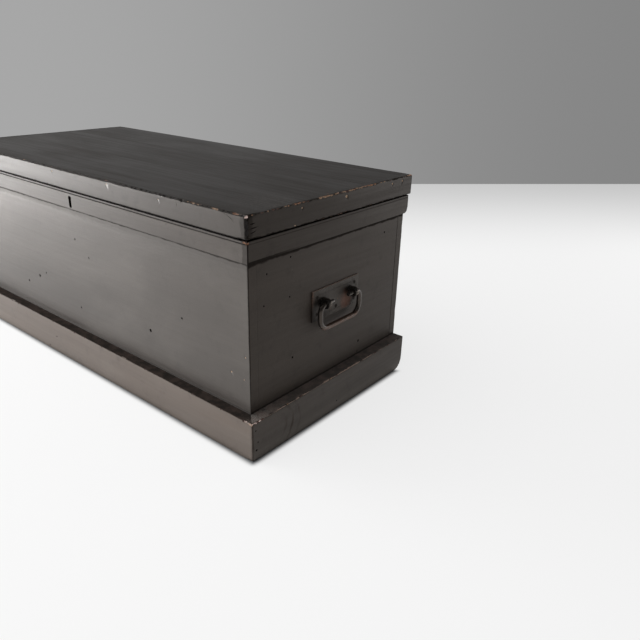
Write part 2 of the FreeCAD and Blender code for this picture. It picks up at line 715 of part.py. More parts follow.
def lock_case():
    """A tray whose open side faces the inside of the chest, on a plate with a screwed flange each side."""
    half = "(lock_width / 2)"
    foot = f"({LOCK_TOP} - lock_height)"
    depth = "(lock_plate_thickness + lock_inside_depth)"
    plate = block("lock_case_plate", (f"{LOCK_MIDDLE} - {half} - lock_flange_width", CASE_FRONT, foot),
                  ("lock_width + 2 * lock_flange_width", "lock_plate_thickness", "lock_height"))
    tray = block("lock_case_tray", (f"{LOCK_MIDDLE} - {half}", CASE_FRONT, foot),
                 ("lock_width", depth, "lock_height"))
    inside_left = f"{LOCK_MIDDLE} - {half} + lock_plate_thickness"
    inside = block("lock_case_inside", (inside_left, CASE_INSIDE, f"{foot} + lock_plate_thickness"),
                   ("lock_width - 2 * lock_plate_thickness", "lock_inside_depth",
                    "lock_height - 2 * lock_plate_thickness"))
    slots = [
        block(f"lock_case_slot_{index}", (f"{loop_left(side)} - loop_play", f"{LOOP_FRONT} - 2 * loop_play",
                                          f"{LOCK_TOP} - lock_plate_thickness"),
              ("loop_thickness + 2 * loop_play", f"{LOOP_WIDTH} + 4 * loop_play", "lock_plate_thickness"))
        for index, side in enumerate((-1, 1))
    ]
    holes = [
        screw_hole(f"lock_case_hole_{index}", (x, CASE_INSIDE, z), "-y", "short_screw")
        for index, (x, z) in enumerate(lock_screw_places())
    ]
    keyhole = keyhole_cutter("lock_keyhole", CASE_FRONT, "lock_plate_thickness")
    solid = joined("lock_case_solid", plate, tray)
    piece(without("lock_case", solid, inside, keyhole, *slots, *holes))

    piece(block("lock_cap", (f"{LOCK_MIDDLE} - {half}", CAP_FRONT, foot),
                ("lock_width", "lock_plate_thickness", "lock_height")))
    piece(rod("lock_key_pin", (LOCK_MIDDLE, f"{CAP_FRONT} - key_pin_length", KEYHOLE_HEIGHT), "y",
              "key_pin_radius", "key_pin_length"))
    fasteners("lock_screws", short_screw, [((x, CASE_INSIDE, z), "-y") for x, z in lock_screw_places()])


def lock_screw_places():
    reach = "(lock_width / 2 + lock_flange_width / 2)"
    return [(f"{LOCK_MIDDLE} + {side} * {reach}", f"{LOCK_TOP} - {share} * lock_height")
            for side in (1, -1) for share in LOCK_SCREW_SHARES]


def lock_bolt():
    """A sliding bar with two hooked tongues, a talon for the key and two slots for its guide studs."""
    half = "(bolt_bar_length / 2)"
    foot = f"({BAR_TOP} - bolt_bar_height)"
    talon = "key_pin_radius"
    body = doc.addObject("PartDesign::Body", "lock_bolt")
    corners = [(f"-{half}", foot), (f"-2 * {talon}", foot), (f"-2 * {talon}", f"{foot} + {talon}"),
               (f"2 * {talon}", f"{foot} + {talon}"), (f"2 * {talon}", foot), (half, foot), (half, BAR_TOP)]
    for side in (1, -1):
        left = tongue_root(side)
        right = f"({left} + tongue_size)"
        tip = f"({left} + 2 * tongue_size)"
        under = f"({TONGUE_TOP} - tongue_size)"
        corners += [(right, BAR_TOP), (right, under), (tip, under), (tip, TONGUE_TOP), (left, TONGUE_TOP),
                    (left, BAR_TOP)]
    corners.append((f"-{half}", BAR_TOP))
    outline = polygon(body, "XZ_Plane", "lock_bolt_outline", corners)
    pad(body, outline, "bolt_thickness", "lock_bolt_pad", backwards=True)
    for index, side in enumerate((-1, 1)):
        stud = f"({side} * bolt_stud_spacing / 2 + bolt_travel / 2)"
        reach = "(bolt_stud_radius + bolt_gap)"
        middle = f"({BAR_TOP} - bolt_bar_height / 2)"
        slot = rectangle(body, "XZ_Plane", f"lock_bolt_slot_{index}",
                         (f"{stud} - bolt_travel - {reach}", f"{middle} - bolt_stud_radius - bolt_gap / 2"),
                         (f"{stud} + {reach}", f"{middle} + bolt_stud_radius + bolt_gap / 2"))
        pocket_through(body, slot, f"lock_bolt_slot_cut_{index}")
    place(body, (LOCK_MIDDLE, BOLT_FRONT, 0))
    piece(body)


def lock_works():
    """The bolt's guide studs, each with a shoulder either side of the bolt, and a flat spring above it."""
    middle = f"({BAR_TOP} - bolt_bar_height / 2)"
    shoulder = "(1.6 * bolt_stud_radius)"
    back_of_bolt = f"({BOLT_FRONT} + bolt_thickness)"
    studs = []
    for index, side in enumerate((-1, 1)):
        at = f"({LOCK_MIDDLE} + {side} * bolt_stud_spacing / 2 + bolt_travel / 2)"
        stem = rod(f"lock_stud_stem_{index}", (at, CASE_INSIDE, middle), "y",
                   "bolt_stud_radius", "lock_inside_depth")
        front = rod(f"lock_stud_front_{index}", (at, CASE_INSIDE, middle), "y", shoulder,
                    f"{BOLT_FRONT} - bolt_gap - {CASE_INSIDE}")
        back = rod(f"lock_stud_back_{index}", (at, f"{back_of_bolt} + bolt_gap", middle), "y", shoulder,
                   f"{CAP_FRONT} - {back_of_bolt} - bolt_gap")
        studs.append(joined(f"lock_stud_{index}", stem, front, back))
    group = doc.addObject("Part::Compound", "lock_studs")
    group.Links = studs
    piece(group)

    wall = "(-lock_width / 2 + lock_plate_thickness)"
    tip = f"({tongue_root(-1)} - 2 * bolt_gap - spring_strip_thickness)"
    rise = "(2 * spring_strip_thickness)"
    rest = f"({BAR_TOP} + bolt_gap)"
    spring = doc.addObject("PartDesign::Body", "lock_spring")
    strip = polygon(spring, "XZ_Plane", "lock_spring_outline", [
        (wall, f"{rest} + {rise}"),
        (f"{tip} - 2 * {rise}", f"{rest} + {rise}"),
        (tip, rest),
        (tip, f"{rest} + spring_strip_thickness"),
        (f"{tip} - 2 * {rise}", f"{rest} + {rise} + spring_strip_thickness"),
        (wall, f"{rest} + {rise} + spring_strip_thickness"),
    ])
    pad(spring, strip, "bolt_thickness", "lock_spring_pad", backwards=True)
    piece(place(spring, (LOCK_MIDDLE, BOLT_FRONT, 0)))


def link_plate():
    """The plate under the lid, with two loops that drop into the lock for the bolt's tongues to enter."""
    foot = f"({LID_UNDERSIDE} - link_plate_thickness)"
    plate = block("link_plate_flat",
                  (f"{LOCK_MIDDLE} - link_plate_length / 2", f"{LOOP_FRONT} - link_plate_lip", foot),
                  ("link_plate_length", "link_plate_width", "link_plate_thickness"))
    loops = []
    windows = []
    loop_foot = f"({TONGUE_TOP} - tongue_size - loop_play - loop_wall)"
    for index, side in enumerate((-1, 1)):
        left = loop_left(side)
        loops.append(block(f"link_loop_{index}", (left, LOOP_FRONT, loop_foot),
                           ("loop_thickness", LOOP_WIDTH, f"{foot} - {loop_foot}")))
        window = (left, f"{LOOP_FRONT} + loop_wall", f"{loop_foot} + loop_wall")
        windows.append(block(f"link_window_{index}", window,
                             ("loop_thickness", "bolt_thickness + 2 * loop_play",
                              "tongue_size + 2 * loop_play")))
    spots = [(f"{LOCK_MIDDLE} + {side} * (link_plate_length / 2 - 1.4 * screw_head_radius)",
              f"{LOOP_FRONT} - link_plate_lip + link_plate_width / 2", foot) for side in (1, -1)]
    holes = [screw_hole(f"link_hole_{index}", at, "+z", "short_screw") for index, at in enumerate(spots)]
    piece(without("link_plate", joined("link_plate_solid", plate, *loops), *windows, *holes))
    fasteners("link_screws", short_screw, [(at, "+z") for at in spots])


# ---------------------------------------------------------------- nails and screws in the wood

def wood_fasteners():
    """Nails are punched a little below the surface, and screws are flush with it."""
    set_in = "nail_set"
    corner = f"({HALF_LENGTH} - wall_thickness / 2)"
    up = spread(f"({WALL_BASE} + nail_from_corner)", f"({WALL_TOP} - nail_from_top)", NAIL_COUNT_UP)
    spots = []
    for side in (1, -1):
        spots += [((f"{side} * {corner}", f"-{HALF_DEPTH} + {set_in}", height), "+y") for height in up]
        spots += [((f"{side} * {corner}", f"{HALF_DEPTH} - {set_in}", height), "-y") for height in up]
    fasteners("corner_nails", long_nail, spots)

    reach = f"({HALF_LENGTH} - nail_from_corner)"
    along = spread(f"-{reach}", reach, NAIL_COUNT_ALONG)
    reach = f"({HALF_DEPTH} - nail_from_corner)"
    across = spread(f"-{reach}", reach, NAIL_COUNT_ACROSS)

    def round_three_sides(name, pattern, out_front, out_end, height):
        front = [((x, f"-{out_front} + {set_in}", height), "+y") for x in along]
        right = [((f"{out_end} - {set_in}", y, height), "-x") for y in across]
        left = [((f"-{out_end} + {set_in}", y, height), "+x") for y in across]
        fasteners(name, pattern, front + right + left)

    round_three_sides("plinth_nails", long_nail, f"({HALF_DEPTH} + plinth_front_thickness)",
                      f"({HALF_LENGTH} + plinth_end_thickness)", f"({WALL_BASE} + nail_over_bottom)")
    round_three_sides("band_nails", short_nail, f"({HALF_DEPTH} + band_thickness)",
                      f"({HALF_LENGTH} + band_thickness)", f"({BAND_FOOT} + band_height / 2)")
    round_three_sides("lid_edging_nails", long_nail, f"({LID_FRONT} + lid_edging_thickness)",
                      f"({LID_HALF_LENGTH} + lid_edging_thickness)", "(total_height - lid_thickness / 2)")

    edge = f"({HALF_DEPTH} - wall_thickness / 2)"
    under = f"bearer_height + {set_in}"
    reach = f"({HALF_LENGTH} - bottom_nail_from_corner)"
    spots = [((x, f"{side} * {edge}", under), "+z")
             for side in (1, -1) for x in spread(f"-{reach}", reach, NAIL_COUNT_ALONG - 1)]
    reach = f"({HALF_DEPTH} - bottom_nail_from_corner)"
    spots += [((f"{side} * {corner}", y, under), "+z")
              for side in (1, -1) for y in spread(f"-{reach}", reach, NAIL_COUNT_ACROSS - 1)]
    fasteners("bottom_nails", long_nail, spots)
    spots = [((f"{side} * ({HALF_LENGTH} - bearer_inset)", y, set_in), "+z")
             for side in (1, 0, -1) for y in across]
    fasteners("bearer_nails", short_nail, spots)

    spots = [((f"{side} * ({HALF_LENGTH} - batten_inset)", f"{share} * batten_length",
               f"{LID_UNDERSIDE} - batten_thickness"), "+z") for side in (1, -1) for share in (-0.4, 0, 0.4)]
    fasteners("batten_screws", long_screw, spots)


# ---------------------------------------------------------------- the whole chest

walls()
bottom()
plinth()
rim_band()
lid()
hinges()
handles()
lock_case()
lock_bolt()
lock_works()
link_plate()
wood_fasteners()
doc.recompute()

for thing in doc.Objects:
    if "Invalid" in thing.State or "Error" in thing.State:
        raise RuntimeError(f"{thing.Name} did not build: {thing.State}")
for thing in pieces:
    if thing.Shape.isNull() or not thing.Shape.isValid():
        raise RuntimeError(f"{thing.Label} has no valid shape")

os.makedirs("parts", exist_ok=True)
for thing in pieces:
    thing.Shape.exportStep(f"parts/{thing.Label}.step")
print(f"{len(pieces)} sub-parts written")
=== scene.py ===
"""The looks of a painted pine chest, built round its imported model.

Metres, with +X along the chest to its right end, -Y the front and +Z up.
The wooden parts are built again here with eased, worn and chipped arrises, dents and nail holes.
The ironwork keeps its solids, with softened edges and forged finishes.
"""
import math
import random

import bmesh
import bpy
from mathutils import Matrix, Vector, noise


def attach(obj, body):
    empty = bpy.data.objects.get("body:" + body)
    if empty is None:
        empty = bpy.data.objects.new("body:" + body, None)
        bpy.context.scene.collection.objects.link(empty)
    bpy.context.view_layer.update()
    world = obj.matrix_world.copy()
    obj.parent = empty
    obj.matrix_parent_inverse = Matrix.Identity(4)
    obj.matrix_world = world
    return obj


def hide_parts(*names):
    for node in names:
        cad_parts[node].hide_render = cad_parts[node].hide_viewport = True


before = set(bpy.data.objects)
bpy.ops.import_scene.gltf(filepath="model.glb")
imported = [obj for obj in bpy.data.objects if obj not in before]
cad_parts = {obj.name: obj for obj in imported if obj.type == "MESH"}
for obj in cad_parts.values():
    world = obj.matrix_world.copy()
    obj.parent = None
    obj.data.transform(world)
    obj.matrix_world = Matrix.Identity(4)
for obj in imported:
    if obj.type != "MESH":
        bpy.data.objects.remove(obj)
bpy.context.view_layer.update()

# ---------------------------------------------------------------- sizes of the chest, in metres

MM = 0.001
WALL_X = 492 * MM
WALL_Y = 230 * MM
WALL_FOOT = 34 * MM
WALL_TOP = 420.8 * MM
WALL_THICK = 20 * MM
PLINTH_X = 517 * MM
PLINTH_Y = 252 * MM
PLINTH_TOP = 78 * MM
PLINTH_KNOCK = 25 * MM
BAND_THICK = 9 * MM
BAND_FOOT = 360.9 * MM
BAND_TOP = 397.9 * MM
BAND_BEAD = 2.2 * MM
BAND_GROOVE = 1.3 * MM
BAND_KNOCK = 11 * MM
BEAD_DROP = 0.9 * MM
GROOVE_FRONT = 0.9 * MM
GROOVE_END = 0.45 * MM
LID_X = 493 * MM
LID_Y = 231 * MM
LID_FOOT = 421 * MM
LID_TOP = 441 * MM
EDGING_THICK = 13 * MM
EDGING_FOOT = 401.5 * MM
KEYHOLE_X = -4.5 * MM
KEYHOLE_EYE_Z = 382.8 * MM
KEYHOLE_EYE = 5.3 * MM
KEYHOLE_SLOT = 4.5 * MM
KEYHOLE_FOOT_Z = 367.8 * MM

PLANK = 155 * MM
RING = 7.5 * MM
SEAM = 0.35 * MM
GUARD = 1.2 * MM
BROAD = 30 * MM
TOUCHING = 0.001 * MM
OVER = 1 * MM


# ---------------------------------------------------------------- shader helpers

class Field:
    """A node's output, which varies over a surface, with plain arithmetic."""

    def __init__(self, socket):
        self.socket = socket
        self.tree = socket.id_data

    def __add__(self, other):
        return calc("ADD", self, other)

    def __sub__(self, other):
        return calc("SUBTRACT", self, other)

    def __mul__(self, other):
        return calc("MULTIPLY", self, other)

    def __getitem__(self, axis):
        return node(self.tree, "SeparateXYZ", axis, Vector=self)


def shader_tree(name):
    """A new material, its node tree and its surface shader."""
    material = bpy.data.materials.new(name)
    material.use_nodes = True
    tree = material.node_tree
    return material, tree, tree.nodes["Principled BSDF"]


def put(socket, value):
    if isinstance(value, Field):
        value.tree.links.new(value.socket, socket)
    elif socket.type == "RGBA":
        socket.default_value = (*value, 1.0)
    else:
        socket.default_value = value


def feed(owner, **inputs):
    """Gives a node's inputs their values, colours or fields."""
    for name, value in inputs.items():
        put(owner.inputs[name.replace("_", " ")], value)


def node(tree, kind, output, settings=None, **inputs):
    """The field that a new node gives out."""
    made = tree.nodes.new(f"ShaderNode{kind}")
    for name, value in (settings or {}).items():
        setattr(made, name, value)
    feed(made, **inputs)
    return Field(made.outputs[output])


def calc(operation, first, second=0.0, clamp=False):
    tree = first.tree if isinstance(first, Field) else second.tree
    found = node(tree, "Math", 0, {"operation": operation, "use_clamp": clamp})
    for socket, value in zip(found.socket.node.inputs, (first, second)):
        put(socket, value)
    return found


def against(operation, place, other):
    """The distance of a place from a point, or its dot product with a direction."""
    found = node(place.tree, "VectorMath", "Value", {"operation": operation}, Vector=place)
    found.socket.node.inputs[1].default_value = other
    return found


def blend(share, first, second):
    """Two colours mixed by a share."""
    return node(share.tree, "Mix", "Result", {"data_type": "RGBA"}, Factor=share, A=first, B=second)


def ramp(value, low, high, to_low=0.0, to_high=1.0):
    """The value brought from one span smoothly to another, and held at its ends."""
    return node(value.tree, "MapRange", "Result", {"interpolation_type": "SMOOTHSTEP"}, Value=value, From_Min=low,
                From_Max=high, To_Min=to_low, To_Max=to_high)


def cloud(place, scale, detail=4.0, roughness=0.55, distortion=0.0):
    return node(place.tree, "TexNoise", "Fac", Vector=place, Scale=scale, Detail=detail, Roughness=roughness,
                Distortion=distortion)


def places(tree, scale=(1, 1, 1), shift=(0, 0, 0)):
    """A point of the piece in the chest's own frame, stretched."""
    return node(tree, "Mapping", "Vector", Vector=node(tree, "TexCoord", "Object"), Scale=scale, Location=shift)


def grained(tree, grain, shift, along, across, *settings):
    """A cloud that is stretched for lines along one axis."""
    stretch = [along if letter == grain else across for letter in "xyz"]
    return cloud(places(tree, stretch, shift), 1.0, *settings)


def bumped(shader, *layers):
    """Bump from several heights, each with its depth in metres."""
    below = {}
    for height, depth in layers:
        below = {"Normal": node(height.tree, "Bump", "Normal", Height=height, Distance=depth, Strength=1.0, **below)}
    feed(shader, **below)


def facing_up(tree):
    return node(tree, "TexCoord", "Normal")["Z"]


# ---------------------------------------------------------------- materials

# Near-black, for dirt and for the painted shade along creases.
DIRT_AND_SHADE = (0.008, 0.0065, 0.0055)
GROUND = (0.2, 0.115, 0.075)
PALE_WOOD = (0.4, 0.27, 0.18)
PINK_PRIMER = (0.33, 0.2, 0.17)
DUST_AND_PAINTED_LIGHT = (0.17, 0.155, 0.14)
REDDER = (1.0, 0.83, 0.71)
REDDISH = (0.014, 0.005, 0.004)


def shade_and_dirt_along_creases(tree, creases):
    """Painted shade under and between parts, with dirt and dark joint lines, along creases: each crease is an axis, a
    place along it, how far the darkening reaches, and its strength.

    It may go on with another axis, a place there where the darkening is full and one where it ends.
    """
    place = places(tree)
    waver = cloud(place, 45.0, 4.0, 0.6)
    total = 0.0
    for axis, at, reach, strength, *fade in creases:
        frayed = calc("ABSOLUTE", place[axis] - at) + (waver - 0.5) * reach
        dirt = ramp(frayed, 0.8 * reach, 1.2 * reach, strength, 0.0)
        if fade:
            dirt = dirt * ramp(place[fade[0]], *fade[1:], 1.0, 0.0)
        total = calc("MAXIMUM", total, dirt)
    return total * ramp(facing_up(tree), 0.72, 0.92, 1.0, 0.0)


def knot_rings(tree, centre, inner, outer, spacing):
    """Where the grain that curves round a knot shows through the paint: rings between two distances from it."""
    place = places(tree)
    far = against("DISTANCE", place, centre) + cloud(place, 26.0, 3.0) * (0.9 * spacing)
    wave = calc("SINE", far * (2 * math.pi / spacing))
    band = ramp(far, inner, inner + spacing) * ramp(far, outer, outer - spacing)
    beside = ramp(place["Y"], centre[1] + 0.6 * inner, centre[1] + 1.4 * inner, 0.0, 0.5)
    faint = beside * ramp(cloud(place, 25.0, 2.0), 0.35, 0.6, 0.2, 1.0)
    return band * ramp(wave, 0.1, 1.0) * faint


def old_paint(name, grain, tone, dust_and_painted_light, dull, shift, warmth=0.0, creases=(), gloss=0.5, knot=None, scuffed=None,
              grainy=1.0, tint=(1.0, 0.93, 0.88), edge_dirt=0.93, under=None, paler_foot=0.0):
    """Aged black-brown paint over an orange-brown ground: brush marks, rubbed arrises, chips, dust that on the fronts
    is also painted light, and painted shade along its creases.
    """
    material, tree, shader = shader_tree(name)
    place = places(tree)
    shifted = places(tree, shift=shift)
    brush = grained(tree, grain, shift, 4.0, 150.0, 5.0, 0.6)
    streaks = grained(tree, grain, shift, 1.4, 20.0, 3.0, 0.55, 0.3)
    patches = grained(tree, grain, shift, 2.6, 6.5, 6.0, 0.62, 0.6)
    ragged = grained(tree, grain, shift, 95.0, 210.0, 5.0, 0.7)
    mottle = cloud(shifted, 33.0, 5.0, 0.65)
    specks = cloud(shifted, 300.0, 3.0, 0.6)
    patchy = cloud(shifted, 22.0, 3.0, 0.6)

    dark = (tone, tone * (0.85 - warmth), tone * (0.74 - 1.6 * warmth))
    faded = [1.35 * part for part in dark]
    smoky = [0.6 * part for part in dark]
    colour = blend(ramp(streaks, 0.3, 0.75, 0.0, grainy), dark, faded)
    colour = blend(ramp(mottle, 0.52, 0.75, 0.0, 0.7), colour, smoky)
    if knot:
        rings = knot_rings(tree, *knot)
        colour = blend(rings, colour, REDDISH)
    # A dusty haze; on the fronts, where it is set strongest, it is also painted light that makes the face paler.
    colour = blend(ramp(patches, 0.42, 0.72) * dust_and_painted_light, colour, DUST_AND_PAINTED_LIGHT)
    colour = blend(ramp(specks, 0.7, 0.78, 0.0, 0.3), colour, DUST_AND_PAINTED_LIGHT)
    # Paler towards the foot, blended towards the haze colour.
    if paler_foot:
        colour = blend(ramp(place["Z"], 0.0, 32 * MM, paler_foot, 0.0), colour, DUST_AND_PAINTED_LIGHT)
    if scuffed:
        middle, reach = scuffed
        close = ramp(against("DISTANCE", place, middle), 0.2 * reach, reach, 0.4, 0.0)
        colour = blend(close * ramp(specks, 0.56, 0.64), colour, DUST_AND_PAINTED_LIGHT)

    near = node(tree, "Attribute", "Fac", {"attribute_name": "near"})
    rub = node(tree, "Attribute", "Fac", {"attribute_name": "rub"})
    noisy = (ragged - 0.5) * 1.5 + (patchy - 0.5) * 0.8
    dark_edge = ramp(near + noisy, 0.3, 0.65, 0.0, edge_dirt)
    colour = blend(dark_edge, colour, DIRT_AND_SHADE)
    edge = calc("MINIMUM", near, 1.0)
    worn = edge * 0.3 + rub * (edge * 0.34 + 0.52)
    bared = ramp(worn + noisy, 0.66, 0.74)
    bare = blend(ramp(mottle, 0.42, 0.56), under or GROUND, under or PALE_WOOD)
    bare = blend(ramp(patchy, 0.52, 0.64, 0.0, 0.8), bare, under or PINK_PRIMER)
    colour = blend(bared, colour, bare)
    darkened_share = dark_edge
    # Painted shade along the creases, under and between parts, with dirt and dark joint lines.
    if creases:
        crease_shade_and_dirt = shade_and_dirt_along_creases(tree, creases)
        colour = blend(crease_shade_and_dirt, colour, DIRT_AND_SHADE)
        darkened_share = calc("MAXIMUM", dark_edge, crease_shade_and_dirt)

    sheen = ramp(brush, 0.3, 0.75, dull - 0.03, dull + 0.05) + ramp(patches, 0.35, 0.7, -0.03, 0.05)
    dull_parts = calc("MAXIMUM", bared * 0.2, darkened_share * 0.6)
    if knot:
        dull_parts = calc("MAXIMUM", dull_parts, rings * 0.45)
    feed(shader, Base_Color=colour, Roughness=calc("ADD", sheen, dull_parts, clamp=True), Specular_Tint=tint,
         Specular_IOR_Level=gloss)
    bumped(shader, (brush, 0.00022 * grainy), (patches, 0.0009), (specks, 0.0001), (bared, -0.0003))
    return material


def ledge_paint(name, tone, grit, reach, gloss=0.0):
    """The top of a strip: paint with settled dirt and pale grit round the near corner; its tone, given per ledge, is
    painted light and shade.
    """
    material, tree, shader = shader_tree(name)
    place = places(tree)
    specks = cloud(place, 420.0, 3.0, 0.6)
    mottle = cloud(place, 60.0, 4.0, 0.6)
    deep = (0.5 * tone, 0.43 * tone, 0.38 * tone)
    shallow = (tone, 0.76 * tone, 0.66 * tone)
    colour = blend(ramp(mottle, 0.35, 0.65), deep, shallow)
    off_corner = against("DISTANCE", place, (PLINTH_X, -PLINTH_Y, PLINTH_TOP))
    close = ramp(off_corner, 0.1 * reach, reach, grit, 0.0)
    colour = blend(close * ramp(specks, 0.51, 0.59), colour, DUST_AND_PAINTED_LIGHT)
    feed(shader, Base_Color=colour, Roughness=0.6, Specular_IOR_Level=gloss)
    bumped(shader, (specks, 0.0003), (mottle, 0.0006))
    return material


def hollow(name, colour, roughness, dirtiness=1.0, gloss=0.5):
    """What shows inside a chip, bare wood with dirt, and inside holes and cracks, near-black painted shade with dirt.
    """
    material, tree, shader = shader_tree(name)
    fleck = cloud(places(tree), 600.0, 3.0, 0.6)
    darkened_share = ramp(fleck, 0.35, 0.65, 0.0, dirtiness)
    feed(shader, Base_Color=blend(darkened_share, colour, DIRT_AND_SHADE), Roughness=roughness, Specular_IOR_Level=gloss)
    bumped(shader, (fleck, 0.0003))
    return material


def bare_pine(name, grain, shift):
    """Unpainted pine gone brown: growth rings that run out along the board and bend round knots, fibres and dirt."""
    material, tree, shader = shader_tree(name)
    place = places(tree, shift=shift)
    sides = [letter for letter in "XYZ" if letter.lower() != grain]
    drift = grained(tree, grain, shift, 1.3, 4.0, 2.0, 0.5)
    fibres = grained(tree, grain, shift, 6.0, 420.0, 4.0, 0.6)
    growth = grained(tree, grain, shift, 0.9, 26.0, 2.0, 0.5)
    dirt = cloud(place, 7.0, 5.0, 0.6)
    stretch = [2.6 if letter == grain else 4.6 for letter in "xyz"]
    off_knot = node(tree, "TexVoronoi", "Distance", Vector=places(tree, stretch, shift), Scale=1.0) + fibres * 0.012

    moved = place[sides[0]] + place[sides[1]] + drift * 0.12
    local = calc("FLOORED_MODULO", moved, PLANK) - PLANK / 2 + growth * (3.2 * RING)
    far = calc("SQRT", local * local + (22 * MM) ** 2) + ramp(off_knot, 0.0, 0.28, 14 * MM, 0.0)
    wave = calc("SINE", far * (2 * math.pi / RING))
    rings = ramp(wave, -0.3, 0.95) * ramp(fibres, 0.2, 0.7, 0.45, 0.85) * ramp(growth, 0.35, 0.65, 0.35, 1.0)
    knot = ramp(off_knot, 0.045, 0.06, 0.9, 0.0)

    dark = (0.235, 0.125, 0.06)
    colour = blend(rings, (0.4, 0.25, 0.125), dark)
    colour = blend(ramp(fibres, 0.5, 0.75) * 0.3, colour, dark)
    colour = blend(knot, colour, (0.1, 0.042, 0.02))
    colour = blend(ramp(dirt, 0.45, 0.8) * 0.6, colour, (0.11, 0.075, 0.05))
    feed(shader, Base_Color=colour, Roughness=ramp(fibres, 0.3, 0.7, 0.62, 0.78))
    bumped(shader, (fibres, 0.0003), (rings, 0.0003), (knot, 0.0004))
    return material


def old_iron(name, tone, rust_share, shine, zones=(), warmth=0.0, spots=(), dust_and_painted_light=(0.09, 0.06, 0.042), metal=0.0,
             gloss=0.6):
    """Forged iron gone black, pitted, with rust in patches and in zones, and a paler colour on what faces up: dust,
    and on the handle plate also painted light on its shaded top edge.

    A zone is an axis, the place below which its rust is full, the place where it ends, and its strength.
    Spots are rust stains and painted shadows, each with its colour, its centre, its radius and its strength.
    """
    material, tree, shader = shader_tree(name)
    place = places(tree)
    pits = cloud(place, 420.0, 5.0, 0.65)
    hammered = cloud(place, 75.0, 2.0, 0.5)
    patches = cloud(place, 46.0, 5.0, 0.65)
    broken = ramp(cloud(place, 260.0, 4.0, 0.6), 0.3, 0.6, 0.3, 1.0)
    black = (tone, tone * (0.93 - warmth), tone * (0.86 - 1.6 * warmth))
    rusty = blend(ramp(pits, 0.4, 0.6), (0.05, 0.022, 0.014), (0.2, 0.085, 0.045))
    share = ramp(patches, 0.72 - rust_share, 0.86 - rust_share)
    for axis, full, end, strength in zones:
        share = calc("MAXIMUM", share, ramp(place[axis], full, end, 1.0, 0.0) * broken * strength)
    colour = blend(share, black, rusty)
    for spot_colour, centre, radius, strength in spots:
        frayed = against("DISTANCE", place, centre) + patches * radius
        colour = blend(ramp(frayed, 0.8 * radius, 1.5 * radius, strength, 0.0), colour, spot_colour)
    # A paler colour on upward faces: dust, and on the handle plate also painted light on its shaded top edge.
    if dust_and_painted_light:
        colour = blend(ramp(facing_up(tree), 0.5, 0.9, 0.0, 0.85), colour, dust_and_painted_light)
    feed(shader, Base_Color=colour, Roughness=ramp(share, 0.0, 1.0, shine, 0.7), Metallic=metal,
         Specular_IOR_Level=gloss, Specular_Tint=(1.0, 0.84, 0.72))
    bumped(shader, (hammered, 0.0012), (pits, 0.0003))
    return material


def steel(name):
    """Screw and nail heads: dull steel with brown rust."""
    material, tree, shader = shader_tree(name)
    place = places(tree)
    pits = cloud(place, 700.0, 4.0, 0.6)
    patches = ramp(cloud(place, 160.0, 3.0, 0.6), 0.4, 0.6)
    feed(shader, Base_Color=blend(patches, (0.075, 0.068, 0.062), (0.09, 0.038, 0.02)),
         Roughness=ramp(pits, 0.35, 0.7, 0.45, 0.7), Metallic=0.4)
    bumped(shader, (pits, 0.0003))
    return material


# ---------------------------------------------------------------- worn boards

def stations(low, high, low_radius, high_radius, cell, extra=()):
    """Places along a board's side: close together at both arrises, a cell apart between them."""
    arris = (0.0, 0.586, 1.0)
    near = [low + share * low_radius for share in arris] + [low + low_radius + GUARD]
    far = [high - share * high_radius for share in arris] + [high - high_radius - GUARD]
    start, end = near[-1], far[-1]
    steps = max(1, round((end - start) / cell))
    between = [start + (end - start) * step / steps for step in range(1, steps)]
    listed = sorted(near + between + far + list(extra))
    kept = [listed[0]]
    for place in listed[1:]:
        if place - kept[-1] > 0.05 * MM:
            kept.append(place)
    return kept


def eased(point, low, high, radius):
    """The point brought onto a box's rounded arris, and how near to an arris it is, from 0 to 1."""
    inner = Vector(min(max(part, floor + radius), ceiling - radius)
                   for part, floor, ceiling in zip(point, low, high))
    out = point - inner
    sizes = sorted(abs(part) for part in out)
    if sizes[1] < 1e-9:
        return point, 0.0
    return inner + out * (sizes[2] / out.length), sizes[1] / radius


def wear_share(point, seed):
    """How far an arris is worn at a point, from 0.2 to 1: slow waves, and a few deep chips."""
    at = point + Vector((seed, 0.37 * seed, 0.71 * seed))
    slow = noise.noise(at * 9)
    quick = noise.noise(at * 95)
    chip = max(0.0, noise.noise(at * 60 + Vector((7, 3, 1))) - 0.38)
    return min(1.0, max(0.2, 0.42 + 0.2 * slow + 0.22 * quick + 3.2 * chip))


def block_mesh(name, lines, shape):
    """A closed block of quads. Lines are three lists of places; shape turns a grid point into a point of the
    piece, how near it is to an arris, and how much it is rubbed."""
    counts = [len(line) - 1 for line in lines]
    made = bmesh.new()
    near_layer = made.verts.layers.float.new("near")
    rub_layer = made.verts.layers.float.new("rub")
    corners = {}

    def corner(steps):
        if steps not in corners:
            grid_point = Vector(line[step] for line, step in zip(lines, steps))
            point, near, rub = shape(grid_point)
            corners[steps] = made.verts.new(point)
            corners[steps][near_layer] = near
            corners[steps][rub_layer] = rub
        return corners[steps]

    for axis in range(3):
        across, up = (axis + 1) % 3, (axis + 2) % 3
        for side in (0, counts[axis]):
            for first in range(counts[across]):
                for second in range(counts[up]):
                    ring = []
                    for step_across, step_up in ((0, 0), (1, 0), (1, 1), (0, 1)):
                        steps = [0, 0, 0]
                        steps[axis] = side
                        steps[across] = first + step_across
                        steps[up] = second + step_up
                        ring.append(corner(tuple(steps)))
                    if side == 0:
                        ring.reverse()
                    made.faces.new(ring)
    if made.calc_volume(signed=True) < 0:
        bmesh.ops.reverse_faces(made, faces=made.faces)
    return meshed(name, made)


def meshed(name, made, materials=()):
    """The mesh of a finished bmesh."""
    mesh = bpy.data.meshes.new(name)
    made.to_mesh(mesh)
    made.free()
    for material in materials:
        mesh.materials.append(material)
    return mesh


